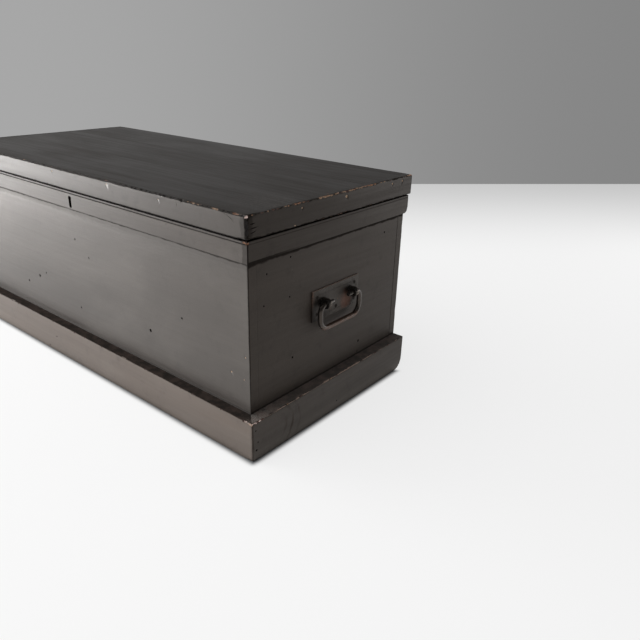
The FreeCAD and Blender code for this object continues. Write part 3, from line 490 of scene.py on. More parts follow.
def placed(name, data):
    """A new object in the scene."""
    made = bpy.data.objects.new(name, data)
    bpy.context.scene.collection.objects.link(made)
    return made


def wooden(name, mesh, body, materials, choose):
    """Puts a wooden piece in its node's place; choose gives a face's material from its middle and normal."""
    piece = placed(f"{name}_worn", mesh)
    for material in materials:
        mesh.materials.append(material)
    for face in mesh.polygons:
        face.material_index = choose(face.center, face.normal)
    smooth(mesh)
    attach(piece, body)
    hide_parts(name)
    return piece


def smooth(mesh):
    mesh.polygons.foreach_set("use_smooth", [True] * len(mesh.polygons))
    mesh.set_sharp_from_angle(angle=math.radians(50))


def no_rub(point):
    return 0.0


def uneven(point, seed):
    """How far a broad face lies in from flat at a point: a hand-planed board's slow waves."""
    return 0.3 * MM * (1 + noise.noise(point * 7 + Vector((seed, 0, 0)))) / 2


def board_mesh(name, low, high, outer_low, outer_high, deepest, seed):
    """A board: arrises that lie on the outer box are worn up to the deepest radius, the others are barely eased."""
    lines = []
    for axis in range(3):
        radii = [deepest if abs(own[axis] - outer[axis]) < TOUCHING else SEAM
                 for own, outer in ((low, outer_low), (high, outer_high))]
        lines.append(stations(low[axis], high[axis], *radii, 12 * MM))

    def shape(point):
        share = wear_share(point, seed)
        moved, near = eased(point, outer_low, outer_high, deepest * share)
        moved, _ = eased(moved, low, high, SEAM)
        for axis in range(3):
            if high[axis] - low[axis] < BROAD:
                moved[axis] += uneven(point, seed) * ((abs(point[axis] - low[axis]) < TOUCHING)
                                                      - (abs(point[axis] - high[axis]) < TOUCHING))
        return moved, near * (0.5 + share), 0.0

    return block_mesh(name, lines, shape)


WALL_BOX = (Vector((-WALL_X, -WALL_Y, WALL_FOOT)), Vector((WALL_X, WALL_Y, WALL_TOP)))
OUTSIDE, INSIDE, END_GRAIN = 0, 1, 2
TOP = 1


def wall_face(centre, normal):
    """Paint outside, bare pine on the faces that look into the chest, and the ends' paint on the long walls' ends."""
    inward = Vector((-centre.x, -centre.y, 0))
    clear_x = abs(centre.x) < WALL_X - WALL_THICK + 0.5 * MM
    clear_y = abs(centre.y) < WALL_Y - WALL_THICK + 0.5 * MM
    if clear_x and clear_y and normal.dot(inward) > 0:
        return INSIDE
    return END_GRAIN if abs(normal.x) > 0.75 and not clear_y else OUTSIDE


def walls(paints, pine):
    inner_x = WALL_X - WALL_THICK
    inner_y = WALL_Y - WALL_THICK
    made = {}
    for name, low, high, grain, seed in (
            ("front_board", (-WALL_X, -WALL_Y), (WALL_X, -inner_y), "x", 3.0),
            ("back_board", (-WALL_X, inner_y), (WALL_X, WALL_Y), "x", 11.0),
            ("right_end_board", (inner_x, -inner_y), (WALL_X, inner_y), "y", 17.0),
            ("left_end_board", (-WALL_X, -inner_y), (-inner_x, inner_y), "y", 23.0)):
        mesh = board_mesh(name, Vector((*low, WALL_FOOT)), Vector((*high, WALL_TOP)), *WALL_BOX, 3.2 * MM, seed)
        finishes = [paints[name], pine[grain]]
        if grain == "x":
            finishes.append(paints["right_end_board"])
        made[name] = wooden(name, mesh, "chest", finishes, wall_face)
    return made


# ---------------------------------------------------------------- mitred strips

def hump(value, middle, reach):
    """1 in the middle of a reach, falling to 0 at both its ends."""
    return max(0.0, 1.0 - ((value - middle) / reach) ** 2)


def rub_lid_front(point):
    """Worn to the ground near the right corner and at a few knocks along the top arris."""
    if point.z < LID_TOP - 4 * MM:
        return 0.0
    knocks = [hump(point.x, at, 8 * MM) for at in (-0.31, -0.16, -0.049, 0.049, 0.141, 0.24, 0.293, 0.355)]
    return max(0.8 * max(knocks), 0.7 * hump(point.x, 0.41, 0.05), 0.9 * hump(point.x, 0.505, 0.012))


def rub_lid_right(point):
    """The right end is rubbed to the wood along the middle of its top arris, where hands lift it, and at the back."""
    if point.z > LID_TOP - 4 * MM:
        return max(0.86 * hump(point.y, 0.02, 0.13), hump(point.y, 0.222, 0.018), 0.5 * hump(point.y, -0.13, 0.06))
    if point.z < EDGING_FOOT + 4 * MM:
        return 0.5 * hump(point.y, 0.03, 0.2)
    return 0.0


def rub_band_front(point):
    """Worn round the keyhole and at the bead's right end."""
    off_keyhole = math.hypot(point.x - 0.022, 1.3 * (point.z - 0.386))
    at_keyhole = max(0.0, 1.0 - off_keyhole / (26 * MM))
    corner = hump(point.x, 0.498, 0.014) if point.z > BAND_TOP - 6 * MM else 0.0
    return max(0.8 * at_keyhole, corner)


def rub_plinth_front(point):
    if point.z < PLINTH_TOP - 4 * MM:
        return 0.0
    return 0.95 * hump(point.x, 0.516, 0.03)


def rub_plinth_right(point):
    """A thin rubbed line all along the top arris."""
    if point.z < PLINTH_TOP - 1.5 * MM:
        return 0.0
    on_ledge = point.x < PLINTH_X - 5 * MM
    along = 0.0 if on_ledge else 1.05 * hump(point.y, -0.02, 0.34)
    return max(along, 0.95 * hump(point.y, -0.25, 0.03))


def strip_mesh(name, side, inner, thick, foot, top, deepest, seed, rub, arris, knock, clogged):
    """One of three strips round the front and ends: side is 'front', 'right' or 'left'.

    inner and thick are (X, Y) pairs; the ends are mitred at the front corners and square at the back wall.
    The upright corners are worn to the deepest radius and the long arrises to the arris share of it.
    A groove's clogged depth gives the strip its bead.
    """
    inner_x, inner_y = inner
    thick_x, thick_y = thick
    outer_low = Vector((-inner_x - thick_x, -inner_y - thick_y, foot))
    outer_high = Vector((inner_x + thick_x, WALL_Y, top))
    heights = stations(foot, top, deepest, deepest, 12 * MM, bead_heights() if clogged else ())
    outs = stations(0.0, 1.0, 0.02, deepest / max(thick), 0.5)
    start, reach = (-1.0, inner_x) if side == "front" else (0.0, 2 * inner_y)
    alongs = stations(start, 1.0, deepest / reach, deepest / reach, 7 * MM / reach)

    def shape(grid_point):
        along, out, height = grid_point
        if side == "front":
            point = Vector((along * (inner_x + out * thick_x), -inner_y - out * thick_y, height))
        else:
            front = -inner_y - out * thick_y
            across = inner_x + out * thick_x
            point = Vector((across if side == "right" else -across, front + along * (WALL_Y - front), height))
        off_corner = max(outer_high.x - abs(point.x), point.y - outer_low.y) / (2.2 * deepest)
        at_corner = min(1.0, max(0.0, 1.8 - off_corner))
        rubbed = rub(point)
        worn = arris + (1 - arris) * max(at_corner, 0.6 * rubbed)
        share = min(1.0, wear_share(point, seed) * worn + 0.25 * at_corner)
        moved, near = eased(point, outer_low, outer_high, deepest * share)
        if knock:
            moved = knocked_off(moved, foot, knock)
        dent = out * (beaded(height, clogged) if clogged else uneven(point, seed))
        moved = sunk(moved, side, dent, outer_low)
        return moved, near * (0.5 + share), rubbed

    return block_mesh(name, [alongs, outs, heights], shape)


def knocked_off(point, foot, radius):
    """The point brought in from the lower back corner that is worn away."""
    over_y = point.y - (WALL_Y - radius)
    under_z = foot + radius - point.z
    if over_y <= 0 or under_z <= 0:
        return point
    share = max(over_y, under_z) / math.hypot(over_y, under_z)
    return Vector((point.x, WALL_Y - radius + over_y * share, foot + radius - under_z * share))


def sunk(point, side, dent, outer_low):
    """The point moved in from the outer face, and held behind both faces near a mitre."""
    limit_x = abs(outer_low.x) - dent
    limit_y = outer_low.y + dent
    if side == "front":
        return Vector((max(-limit_x, min(limit_x, point.x)), point.y + dent, point.z))
    inward = -dent if point.x > 0 else dent
    return Vector((point.x + inward, max(point.y, limit_y), point.z))


BEAD_MIDDLE = BAND_TOP - BAND_BEAD
GROOVE_FOOT = BEAD_MIDDLE - BAND_BEAD - BAND_GROOVE


def beaded(height, clogged):
    """How far in the band's face is at a height: a groove half full of paint, and a flat bead over it."""
    if height < GROOVE_FOOT:
        return 0.0
    if height < BEAD_MIDDLE - BAND_BEAD:
        return clogged
    rise = min(1.0, abs(height - BEAD_MIDDLE) / BAND_BEAD)
    dip = BEAD_DROP * (1 - math.sqrt(1 - rise * rise))
    return dip if height > BEAD_MIDDLE else min(dip, clogged)


def bead_heights():
    groove = [GROOVE_FOOT - 0.12 * MM, GROOVE_FOOT, GROOVE_FOOT + BAND_GROOVE - 0.06 * MM]
    return groove + [BEAD_MIDDLE + BAND_BEAD * math.sin(math.radians(degrees)) for degrees in range(-75, 76, 25)]


def top_face(centre, normal):
    """A strip's top has a finish of its own."""
    return TOP if normal.z > 0.985 else OUTSIDE


def strips(word, body, inner, thick, foot, top, deepest, seed, rubs, tops, arris=1.0, knock=0.0, grooves=(0, 0)):
    """Three strips of one kind: rubs and grooves are the front's and the ends', and tops the paints of the tops."""
    made = {}
    for side, top_paint in zip(("front", "right", "left"), tops):
        name = f"{word}_{side}"
        end = side != "front"
        mesh = strip_mesh(name, side, inner, thick, foot, top, deepest, seed, rubs[end], arris,
                          knock if side == "right" else 0.0, grooves[end])
        made[side] = wooden(name, mesh, body, (paints[name], paints[top_paint]), top_face)
    return made


def lid_face(centre, normal):
    return INSIDE if normal.z < -0.5 else OUTSIDE


def lid_boards(paints, pine):
    made = {}
    width = (2 * LID_Y - 1 * MM) / 3
    outer = (Vector((-1, -1, -1)), Vector((1, WALL_Y, LID_TOP)))
    for index, word in enumerate(("front", "middle", "back")):
        name = f"lid_board_{word}"
        start = -LID_Y + index * width
        mesh = board_mesh(name, Vector((-LID_X, start, LID_FOOT)), Vector((LID_X, start + width, LID_TOP)), *outer,
                          2.4 * MM, 61.0 + index)
        made[word] = wooden(name, mesh, "lid", (paints[name], pine["x"]), lid_face)
    return made


# ---------------------------------------------------------------- holes, dents and cracks

OUTWARD = {"front": Vector((0, -1, 0)), "right": Vector((1, 0, 0))}


def on_face(side, plane, first, second):
    """A point on the front or on the right end, from its two coordinates there."""
    return Vector((first, plane, second)) if side == "front" else Vector((plane, first, second))


def pit(made, at, outward, radius, depth):
    """A ragged hole that narrows inwards, in a mesh of cutters."""
    turned = outward.to_track_quat("Z", "X").to_matrix().to_4x4()
    lift = 0.5 * MM
    middle = at + outward * (lift - depth) / 2
    found = bmesh.ops.create_cone(made, cap_ends=True, segments=12, radius1=radius * 0.45, radius2=radius,
                                  depth=depth + lift, matrix=Matrix.Translation(middle) @ turned)
    for vert in found["verts"]:
        centre = at + outward * (vert.co - at).dot(outward)
        vert.co = centre + (vert.co - centre) * (1 + 0.45 * noise.noise(vert.co * 900))


def slit(made, points, outward, width, depth):
    """A crack along a line of points: widest in the middle, and a V in section."""
    count = len(points) - 1
    rows = []
    for index, point in enumerate(points):
        ahead = points[min(index + 1, count)] - points[max(index - 1, 0)]
        across = ahead.cross(outward).normalized()
        open_to = width * (0.12 + math.sin(math.pi * index / count)) / 2
        rows.append([made.verts.new(point + outward * 0.3 * MM + across * open_to),
                     made.verts.new(point + outward * 0.3 * MM - across * open_to),
                     made.verts.new(point - outward * depth)])
    made.faces.new(rows[0])
    made.faces.new(reversed(rows[-1]))
    for first, second in zip(rows, rows[1:]):
        for left, right in ((0, 1), (1, 2), (2, 0)):
            made.faces.new((first[right], first[left], second[left], second[right]))


def flake(made, at, outward, along, length, width, depth, tint):
    """A ragged lens that takes a flake off an arris; tint is the number of its finish."""
    across = along.cross(outward).normalized()
    shape = Matrix((along * length / 2, across * width / 2, outward * depth)).transposed().to_4x4()
    found = bmesh.ops.create_icosphere(made, subdivisions=2, radius=1.0, matrix=Matrix.Translation(at) @ shape)
    for vert in found["verts"]:
        vert.co = at + (vert.co - at) * (1 + 0.5 * noise.noise(vert.co * 700))
        for face in vert.link_faces:
            face.material_index = tint


def flakes_along(made, start, end, outward, spacing, size, tints, chance):
    """Flakes at uneven places of an arris: size is their length, width and depth."""
    whole = end - start
    along = whole.normalized()
    count = max(1, round(whole.length / spacing))
    for index in range(count):
        at = start + whole * ((index + chance.uniform(0.1, 0.9)) / count)
        length, width, depth = (part * chance.uniform(0.55, 1.45) for part in size)
        at = at + along.cross(outward).normalized() * chance.uniform(-1.0, 1.0) * MM
        flake(made, at, outward, along, length, width, depth, chance.choice(tints))


def prism(made, outline, back, front):
    """A solid from a closed outline of (X, Z) points, between two places along Y."""
    near = [made.verts.new((x, front, z)) for x, z in outline]
    far = [made.verts.new((x, back, z)) for x, z in outline]
    made.faces.new(near)
    made.faces.new(reversed(far))
    for index in range(len(outline)):
        follow = (index + 1) % len(outline)
        made.faces.new((near[follow], near[index], far[index], far[follow]))


def cut(pieces, made, *materials):
    """Takes the cutters out of the pieces, for good, with their own finishes inside."""
    bmesh.ops.recalc_face_normals(made, faces=made.faces)
    cutters = placed("cutters", meshed("cutters", made, materials))
    for piece in pieces:
        step = piece.modifiers.new("cut", "BOOLEAN")
        step.operation = "DIFFERENCE"
        step.solver = "EXACT"
        step.material_mode = "TRANSFER"
        step.use_self = True
        step.object = cutters
        bpy.context.view_layer.update()
        seen = piece.evaluated_get(bpy.context.evaluated_depsgraph_get())
        result = bpy.data.meshes.new_from_object(seen)
        if len(result.vertices) < 0.9 * len(piece.data.vertices):
            raise RuntimeError(f"the cut spoils {piece.name}")
        piece.modifiers.clear()
        piece.data = result
        smooth(result)
    bpy.data.objects.remove(cutters)


def arc(middle_z, radius, start, turn, steps):
    """Points of an arc round the keyhole's upright middle line."""
    angles = [start + turn * step / steps for step in range(steps + 1)]
    return [(KEYHOLE_X + radius * math.cos(angle), middle_z + radius * math.sin(angle)) for angle in angles]


def keyhole(front_board, band, inside):
    """A round eye over a slot with a round foot."""
    join = math.asin(KEYHOLE_SLOT / KEYHOLE_EYE)
    outline = arc(KEYHOLE_EYE_Z, KEYHOLE_EYE, join - math.pi / 2, 2 * math.pi - 2 * join, 12)
    outline += arc(KEYHOLE_FOOT_Z, KEYHOLE_SLOT, math.pi, math.pi, 8)
    for piece, front, back in ((band, -WALL_Y - BAND_THICK - OVER, -WALL_Y + OVER),
                               (front_board, -WALL_Y - OVER, -WALL_Y + WALL_THICK + OVER)):
        made = bmesh.new()
        prism(made, outline, back, front)
        cut((piece,), made, inside)


def hinge_recesses(back_board, lid_board, inside):
    """What the hinge leaves are let into."""
    size = (76 * MM, 18 * MM + OVER, 1.9 * MM + OVER)
    for piece, height in ((back_board, WALL_TOP + OVER - size[2] / 2), (lid_board, LID_FOOT - OVER + size[2] / 2)):
        made = bmesh.new()
        for middle in (-322 * MM, 322 * MM):
            at = Matrix.Translation((middle, WALL_Y + OVER - size[1] / 2, height))
            bmesh.ops.create_cube(made, size=1.0, matrix=at @ Matrix.Diagonal((*size, 1.0)))
        cut((piece,), made, inside)


def pits_in(piece, side, plane, spots, material, radius, depth):
    """Pits at places on one face; a spot is two coordinates and, if it is larger, a share of the radius."""
    made = bmesh.new()
    for first, second, *size in spots:
        share = size[0] if size else 1.0
        pit(made, on_face(side, plane, first, second), OUTWARD[side], radius * share, depth * share)
    cut((piece,), made, material)


ORANGE, TAN, PALE, BROWN, BLACK = range(5)
FLAKE = (8.5 * MM, 6.2 * MM, 2.3 * MM)
THIN_FLAKE = (8.0 * MM, 4.2 * MM, 1.8 * MM)
SMALL_FLAKE = (5.5 * MM, 3.6 * MM, 1.5 * MM)


def chipped(pieces, point, outward, depth, rows, chance, finishes):
    """Flakes along one arris of some pieces, from the solids under it: point gives a place of its line, and a row
    is a start, an end, a spacing, a size and the numbers of the finishes."""
    made = bmesh.new()
    outward = Vector(outward).normalized()
    for start, end, spacing, size, tints in rows:
        edge = [Vector(point(along)) - outward * depth for along in (start, end)]
        flakes_along(made, *edge, outward, spacing, size, tints, chance)
    cut(pieces, made, *finishes)


def corner_flake(made, at, outward, depth, along, size, tint):
    outward = Vector(outward).normalized()
    flake(made, Vector(at) - outward * depth, outward, Vector(along).normalized(), *size, tint)


def lid_flakes(front, right):
    """Flakes along the lid's top arrises: many where it is lifted and at the near corner, a few elsewhere."""
    chance = random.Random(12)
    front_y = -LID_Y - EDGING_THICK
    right_x = LID_X + EDGING_THICK
    chipped((front,), lambda x: (x, front_y, LID_TOP), (0, -1, 1), 0.8 * MM, (
        (-0.46, 0.16, 0.05, SMALL_FLAKE, (BLACK, BLACK, BROWN)), (0.2, 0.36, 0.013, FLAKE, (BLACK,)),
        (0.368, 0.404, 0.0065, SMALL_FLAKE, (ORANGE, TAN, BROWN)), (0.405, 0.424, 0.008, SMALL_FLAKE, (BROWN, BLACK)),
        (0.43, 0.446, 0.007, FLAKE, (ORANGE, TAN)), (0.455, 0.474, 0.0075, SMALL_FLAKE, (BROWN, BLACK)),
        (0.478, 0.498, 0.0068, FLAKE, (BROWN, ORANGE, BLACK))), chance, darker_front_flake_finishes)
    chipped((right,), lambda y: (right_x, y, LID_TOP), (1, 0, 1), 0.8 * MM, (
        (-0.238, -0.228, 0.006, SMALL_FLAKE, (BROWN, ORANGE)), (-0.22, -0.17, 0.012, SMALL_FLAKE, (BROWN, TAN)),
        (-0.156, -0.145, 0.005, SMALL_FLAKE, (ORANGE, TAN)), (-0.134, -0.094, 0.0065, SMALL_FLAKE, (BROWN, ORANGE)),
        (-0.07, -0.03, 0.006, THIN_FLAKE, (ORANGE, TAN)), (-0.012, 0.036, 0.0065, THIN_FLAKE, (ORANGE, TAN, BROWN)),
        (0.046, 0.056, 0.005, SMALL_FLAKE, (TAN,)), (0.074, 0.098, 0.006, THIN_FLAKE, (TAN, ORANGE)),
        (0.112, 0.152, 0.012, SMALL_FLAKE, (TAN, BROWN)), (0.19, 0.212, 0.009, SMALL_FLAKE, (BROWN, TAN))),
        chance, flake_finishes)
    chipped((front, right), lambda z: (right_x, front_y, z), (1, -1, 0), 2.4 * MM,
            ((0.408, 0.434, 0.0065, FLAKE, (BLACK,)),), chance, flake_finishes)
    made = bmesh.new()
    corner_flake(made, (right_x, front_y, LID_TOP), (1, -1, 1.2), 3.6 * MM, (1, 1, 0),
                 (10 * MM, 6 * MM, 2.4 * MM), PALE)
    cut((front, right), made, *flake_finishes)


def band_corner(front, right):
    """The bead is worn off to the ground at the near corner."""
    front_y = -WALL_Y - BAND_THICK
    made = bmesh.new()
    corner_flake(made, (WALL_X + BAND_THICK, front_y, BAND_TOP - 2 * MM), (1, -1, 0.6), 2.4 * MM, (1, 1, 0),
                 (9 * MM, 4 * MM, 2.2 * MM), ORANGE)
    corner_flake(made, (WALL_X + 3 * MM, front_y, BAND_TOP - 2.4 * MM), (0, -1, 0.4), 0.0, (1, 0, 0),
                 (8 * MM, 3 * MM, 1 * MM), ORANGE)
    cut((front, right), made, *flake_finishes)


def plinth_flakes(front, right):
    """Small flakes along the plinth's top arris at the right end and its near corner."""
    chance = random.Random(31)
    chipped((right,), lambda y: (PLINTH_X, y, PLINTH_TOP), (1, 0, 1), 0.7 * MM,
            ((-0.25, -0.222, 0.004, SMALL_FLAKE, (PALE, BROWN)), (-0.2, 0.21, 0.06, SMALL_FLAKE, (BROWN, TAN))),
            chance, flake_finishes)
    chipped((front,), lambda x: (x, -PLINTH_Y, PLINTH_TOP), (0, -1, 1), 0.7 * MM,
            ((-0.45, 0.48, 0.07, SMALL_FLAKE, (BROWN,)), (0.494, 0.515, 0.004, SMALL_FLAKE, (PALE, BROWN, PALE))),
            chance, darker_front_flake_finishes)


def cracks(piece, side, plane, lines, material):
    """Cracks on one face: each is its points' two coordinates, its width and its depth."""
    made = bmesh.new()
    for line, width, depth in lines:
        slit(made, [on_face(side, plane, *spot) for spot in line], OUTWARD[side], width, depth)
    cut((piece,), made, material)


# ---------------------------------------------------------------- lights, floor and camera

def soft_lamp(name, at, target, width, height, power):
    data = bpy.data.lights.new(name, "AREA")
    data.shape = "RECTANGLE"
    data.size = width
    data.size_y = height
    data.energy = power
    lamp = placed(name, data)
    lamp.location = at
    lamp.rotation_mode = "QUATERNION"
    lamp.rotation_quaternion = (Vector(target) - lamp.location).to_track_quat("-Z", "Y")


FLOOR_WHITENESS = 0.8
CONTACT_REACH = 16 * MM
KNOCKED_CORNER = (0.455, 0.2)


def seen_directly(tree):
    """1 for the camera's rays and for reflected and refracted ones, 0 for the rest."""
    straight, glossy, through = (node(tree, "LightPath", f"Is {word} Ray")
                                 for word in ("Camera", "Glossy", "Transmission"))
    return calc("MAXIMUM", calc("MAXIMUM", straight, glossy), through)


def off_plinth(tree):
    """How far a point of the floor is from the part of the plinth that touches it, in metres."""
    place = places(tree)
    gap_x, gap_y = (calc("MAXIMUM", calc("ABSOLUTE", place[axis]) - reach, 0.0)
                    for axis, reach in (("X", PLINTH_X), ("Y", PLINTH_Y)))
    past_x, past_y = (place[axis] - start for axis, start in zip("XY", KNOCKED_CORNER))
    return calc("MAXIMUM", calc("SQRT", gap_x * gap_x + gap_y * gap_y), calc("MINIMUM", past_x, past_y))


def grey(level):
    return (level, level, level)


def mix_shaders(tree, share, first, second, output):
    """Leads two shaders, mixed by a share, to the output."""
    both = node(tree, "MixShader", 0)
    for socket, value in zip(both.socket.node.inputs, (share, first, second)):
        put(socket, value)
    put(output.inputs["Surface"], both)


def floor():
    """A pale floor whose far edge is where the grey backdrop starts, with a painted contact shadow round the plinth.
    """
    edge = Vector((-0.567, 2.051, 0))
    along = Vector((0.69, 0.724, 0)).normalized()
    toward = Vector((along.y, -along.x, 0))
    corners = [edge + along * side + toward * reach for side, reach in ((-14, 0), (-14, 20), (14, 20), (14, 0))]
    mesh = bpy.data.meshes.new("floor")
    mesh.from_pydata([tuple(corner) for corner in corners], [], [(0, 1, 2, 3)])
    material, tree, shader = shader_tree("floor_white")
    place = places(tree)
    away = off_plinth(tree)
    pale = blend(cloud(place, 0.8, 2.0), grey(0.84), grey(0.88))
    # Painted contact shadow: the floor's colour darkens to dark grey close round the plinth.
    shaded = blend(ramp(away, -2 * MM, CONTACT_REACH), (0.13, 0.135, 0.14), pale)
    feed(shader, Base_Color=shaded, Roughness=0.8, Specular_IOR_Level=0.1)
    nearness = ramp(against("DOT_PRODUCT", place, toward) - toward.dot(edge), -0.1, 1.3)
    white = node(tree, "Emission", 0, Color=blend(nearness, grey(0.6), grey(0.95)), Strength=1.0)
    share = seen_directly(tree) * ramp(away, 0.0, CONTACT_REACH, 0.0, FLOOR_WHITENESS)
    mix_shaders(tree, share, Field(shader.outputs[0]), white, tree.nodes["Material Output"])
    mesh.materials.append(material)
    made = placed("floor", mesh)


def backdrop():
    """Grey behind the floor for the camera and for reflections; a dim even light otherwise."""
    world = bpy.data.worlds.new("studio")
    bpy.context.scene.world = world
    world.use_nodes = True
    tree = world.node_tree
    tree.nodes.clear()
    direction = node(tree, "TexCoord", "Generated")
    share = ramp(against("DOT_PRODUCT", direction, (0.774, 0.633, 0.026)), -0.5, 0.5)
    shade = blend(share, grey(0.39), grey(0.235))
    shade = blend(ramp(direction["Z"], 0.16, 0.4), shade, grey(0.05))
    seen = node(tree, "Background", 0, Color=shade, Strength=1.0)
    light = node(tree, "Background", 0, Color=grey(1), Strength=0.3)
    mix_shaders(tree, seen_directly(tree), light, seen, tree.nodes.new("ShaderNodeOutputWorld"))


def camera():
    """The photograph's view: from the right and above, rolled a little."""
    right = Vector((0.77409, 0.63255, 0.02569))
    up = Vector((-0.27562, 0.30020, 0.91319))
    back = Vector((0.56992, -0.71397, 0.40673))
    data = bpy.data.cameras.new("camera")
    data.lens = 34.8
    data.sensor_width = 36
    made = placed("camera", data)
    turned = Matrix((right, up, back)).transposed().to_4x4()
    made.matrix_world = Matrix.Translation((1.1630, -0.8826, 0.6787)) @ turned
    bpy.context.scene.camera = made


# ---------------------------------------------------------------- ironwork that keeps its solids

def soften(name, width, material):
    """Eased edges and a finish for a node that keeps its solid."""
    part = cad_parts[name]
    weld = part.modifiers.new("weld", "WELD")
    weld.merge_threshold = 0.00001
    bevel = part.modifiers.new("bevel", "BEVEL")
    bevel.width = width
    bevel.segments = 2
    bevel.limit_method = "ANGLE"
    bevel.angle_limit = math.radians(35)
    bevel.harden_normals = False
    for spot in part.material_slots:
        spot.material = material


def frame_slot(name):
    words = name.split("_")
    if "nails" in words or "screws" in words or "studs" in words:
        return "steel_fasteners"
    if "hinge" in words:
        return "hinge_iron"
    if "handle" in words or "bail" in words:
        return "handle_iron"
    return "lock_iron"


# Creases for the painted shade and dirt along them: painted shade under the band and the lid's edging, over the
# plinth, on the band's top and in the groove; darkening near the corners; and a dark joint line where the ends meet
# the back.
UNDER_BAND_FRONT = ("Z", BAND_FOOT, 6.6 * MM, 0.8)
UNDER_BAND_SHADE = ("Z", BAND_FOOT, 14 * MM, 0.22)
UNDER_BAND_END = ("Z", BAND_FOOT, 8.0 * MM, 1.0)
UNDER_BAND_NEAR = ("Z", BAND_FOOT, 9.5 * MM, 1.0, "Y", -0.225, -0.15)
OVER_PLINTH = ("Z", PLINTH_TOP, 4.0 * MM, 0.7)
IN_GROOVE = ("Z", GROOVE_FOOT + BAND_GROOVE / 2, 0.9 * MM, 0.85)
IN_GROOVE_END = ("Z", GROOVE_FOOT + BAND_GROOVE / 2, 0.7 * MM, 0.3)
ON_BAND = ("Z", BAND_TOP, 1.2 * MM, 1.0)
ON_BAND_END = ("Z", BAND_TOP, 0.8 * MM, 1.0)
BAND_FOOT_NEAR = ("Z", BAND_FOOT, 3.0 * MM, 1.0, "Y", -0.225, -0.08)
UNDER_LID = ("Z", EDGING_FOOT, 1.8 * MM, 1.0)
LID_ARRIS = ("Z", LID_TOP, 3.4 * MM, 0.95)
END_JOINT = ("Y", WALL_Y - WALL_THICK, 0.9 * MM, 0.6)
WALL_CORNER = ("X", WALL_X, 1.3 * MM, 0.85)
WALL_END_CORNER = ("Y", -WALL_Y, 1.6 * MM, 0.9)
BAND_CORNER = ("Y", -WALL_Y - BAND_THICK, 3.0 * MM, 0.8)
BAND_FRONT_CORNER = ("X", WALL_X + BAND_THICK, 11 * MM, 0.5)
LID_CORNER = ("X", LID_X + EDGING_THICK, 5.5 * MM, 0.9)
LID_CORNER_BROAD = ("X", LID_X + EDGING_THICK, 14 * MM, 0.4)
LID_END_CORNER = ("Y", -LID_Y - EDGING_THICK, 4.6 * MM, 0.92)
LID_END_CORNER_BROAD = ("Y", -LID_Y - EDGING_THICK, 13 * MM, 0.4)
PLINTH_CORNER = ("Y", -PLINTH_Y, 1.4 * MM, 0.35)

PLINTH_KNOT = (PLINTH_X, -0.2, 0.04)
LID_SCUFF = (0.47, -0.15, LID_TOP)
END_CREASES = (UNDER_BAND_END, UNDER_BAND_NEAR, OVER_PLINTH, END_JOINT, WALL_END_CORNER)

# The paint's tone and haze differ from face to face, lit and shaded copies of one paint: painted light makes the
# fronts paler, painted shade makes the ends' strips and the lid's top darker.
paints = {
    "front_board": old_paint(
        "paint_front", "x", 0.026, 0.17, 0.455, (0, 0, 0), 0.0,
        (UNDER_BAND_FRONT, UNDER_BAND_SHADE, OVER_PLINTH, WALL_CORNER), gloss=1.0, tint=(1.0, 0.92, 0.86)),
    "back_board": old_paint("paint_back", "x", 0.05, 0.2, 0.5, (3.1, 1.2, 0.7), 0.02, (OVER_PLINTH,)),
    "plinth_front": old_paint(
        "paint_plinth_front", "x", 0.074, 0.25, 0.45, (1.9, 6.3, 4.4), 0.06, gloss=0.85, tint=(1.0, 0.86, 0.78),
        edge_dirt=0.6),
    "rim_band_front": old_paint(
        "paint_band_front", "x", 0.04, 0.2, 0.47, (8.8, 3.9, 5.1), 0.02, (IN_GROOVE, ON_BAND, BAND_FRONT_CORNER),
        gloss=0.56),
    "lid_edging_front": old_paint(
        "paint_edging_front", "x", 0.036, 0.1, 0.44, (2.2, 9.1, 6.2), 0.0,
        (UNDER_LID, LID_ARRIS, LID_CORNER, LID_CORNER_BROAD), gloss=0.46),
    # The front ledge's dark tone is painted shade where the lamps light it strongly; the band's top, under the lid, is
    # near-black painted shade that darkens the gap.
    "ledge_front": ledge_paint("ledge_front_painted_shade", 0.034, 0.8, 30 * MM),
    "band_top": ledge_paint("band_top_painted_shade", 0.006, 0.0, 30 * MM),
}
for side, wall_shift, shift in (("right", (5.2, 2.3, 1.1), (4.3, 7.9, 1.5)),
                                ("left", (7.7, 4.1, 2.9), (7.3, 5.9, 2.5))):
    paints[f"{side}_end_board"] = old_paint(
        f"paint_{side}_end", "y", 0.026, 0.05, 0.5, wall_shift, 0.04, END_CREASES, gloss=0.25, tint=REDDER)
    # The end ledges are painted paler, as painted light where the chest shades them.
    paints[f"ledge_{side}"] = ledge_paint(f"ledge_{side}_dirt", 0.11, 0.75, 0.15, 0.5)
    paints[f"plinth_{side}"] = old_paint(
        f"paint_plinth_{side}", "y", 0.03, 0.06, 0.5, shift, 0.0, (PLINTH_CORNER,), gloss=0.27, tint=REDDER,
        edge_dirt=0.6, under=(0.27, 0.2, 0.165), paler_foot=0.4, knot=(PLINTH_KNOT, 30 * MM, 92 * MM, 19 * MM))
    paints[f"rim_band_{side}"] = old_paint(
        f"paint_band_{side}", "y", 0.021, 0.04, 0.5, shift, 0.04,
        (IN_GROOVE_END, ON_BAND_END, BAND_CORNER, BAND_FOOT_NEAR), gloss=0.22, tint=REDDER)
    paints[f"lid_edging_{side}"] = old_paint(
        f"paint_edging_{side}", "y", 0.018, 0.04, 0.5, shift, 0.04, (LID_END_CORNER, LID_END_CORNER_BROAD), gloss=0.19,
        tint=REDDER)
for index, word in enumerate(("front", "middle", "back")):
    paints[f"lid_board_{word}"] = old_paint(
        f"paint_lid_{word}", "x", 0.011, 0.05, 0.35, (6.1 + index, 2.7 * index, 3.3), 0.05, gloss=0.46, grainy=0.45,
        tint=(1.0, 0.88, 0.8), scuffed=(LID_SCUFF, 90 * MM))
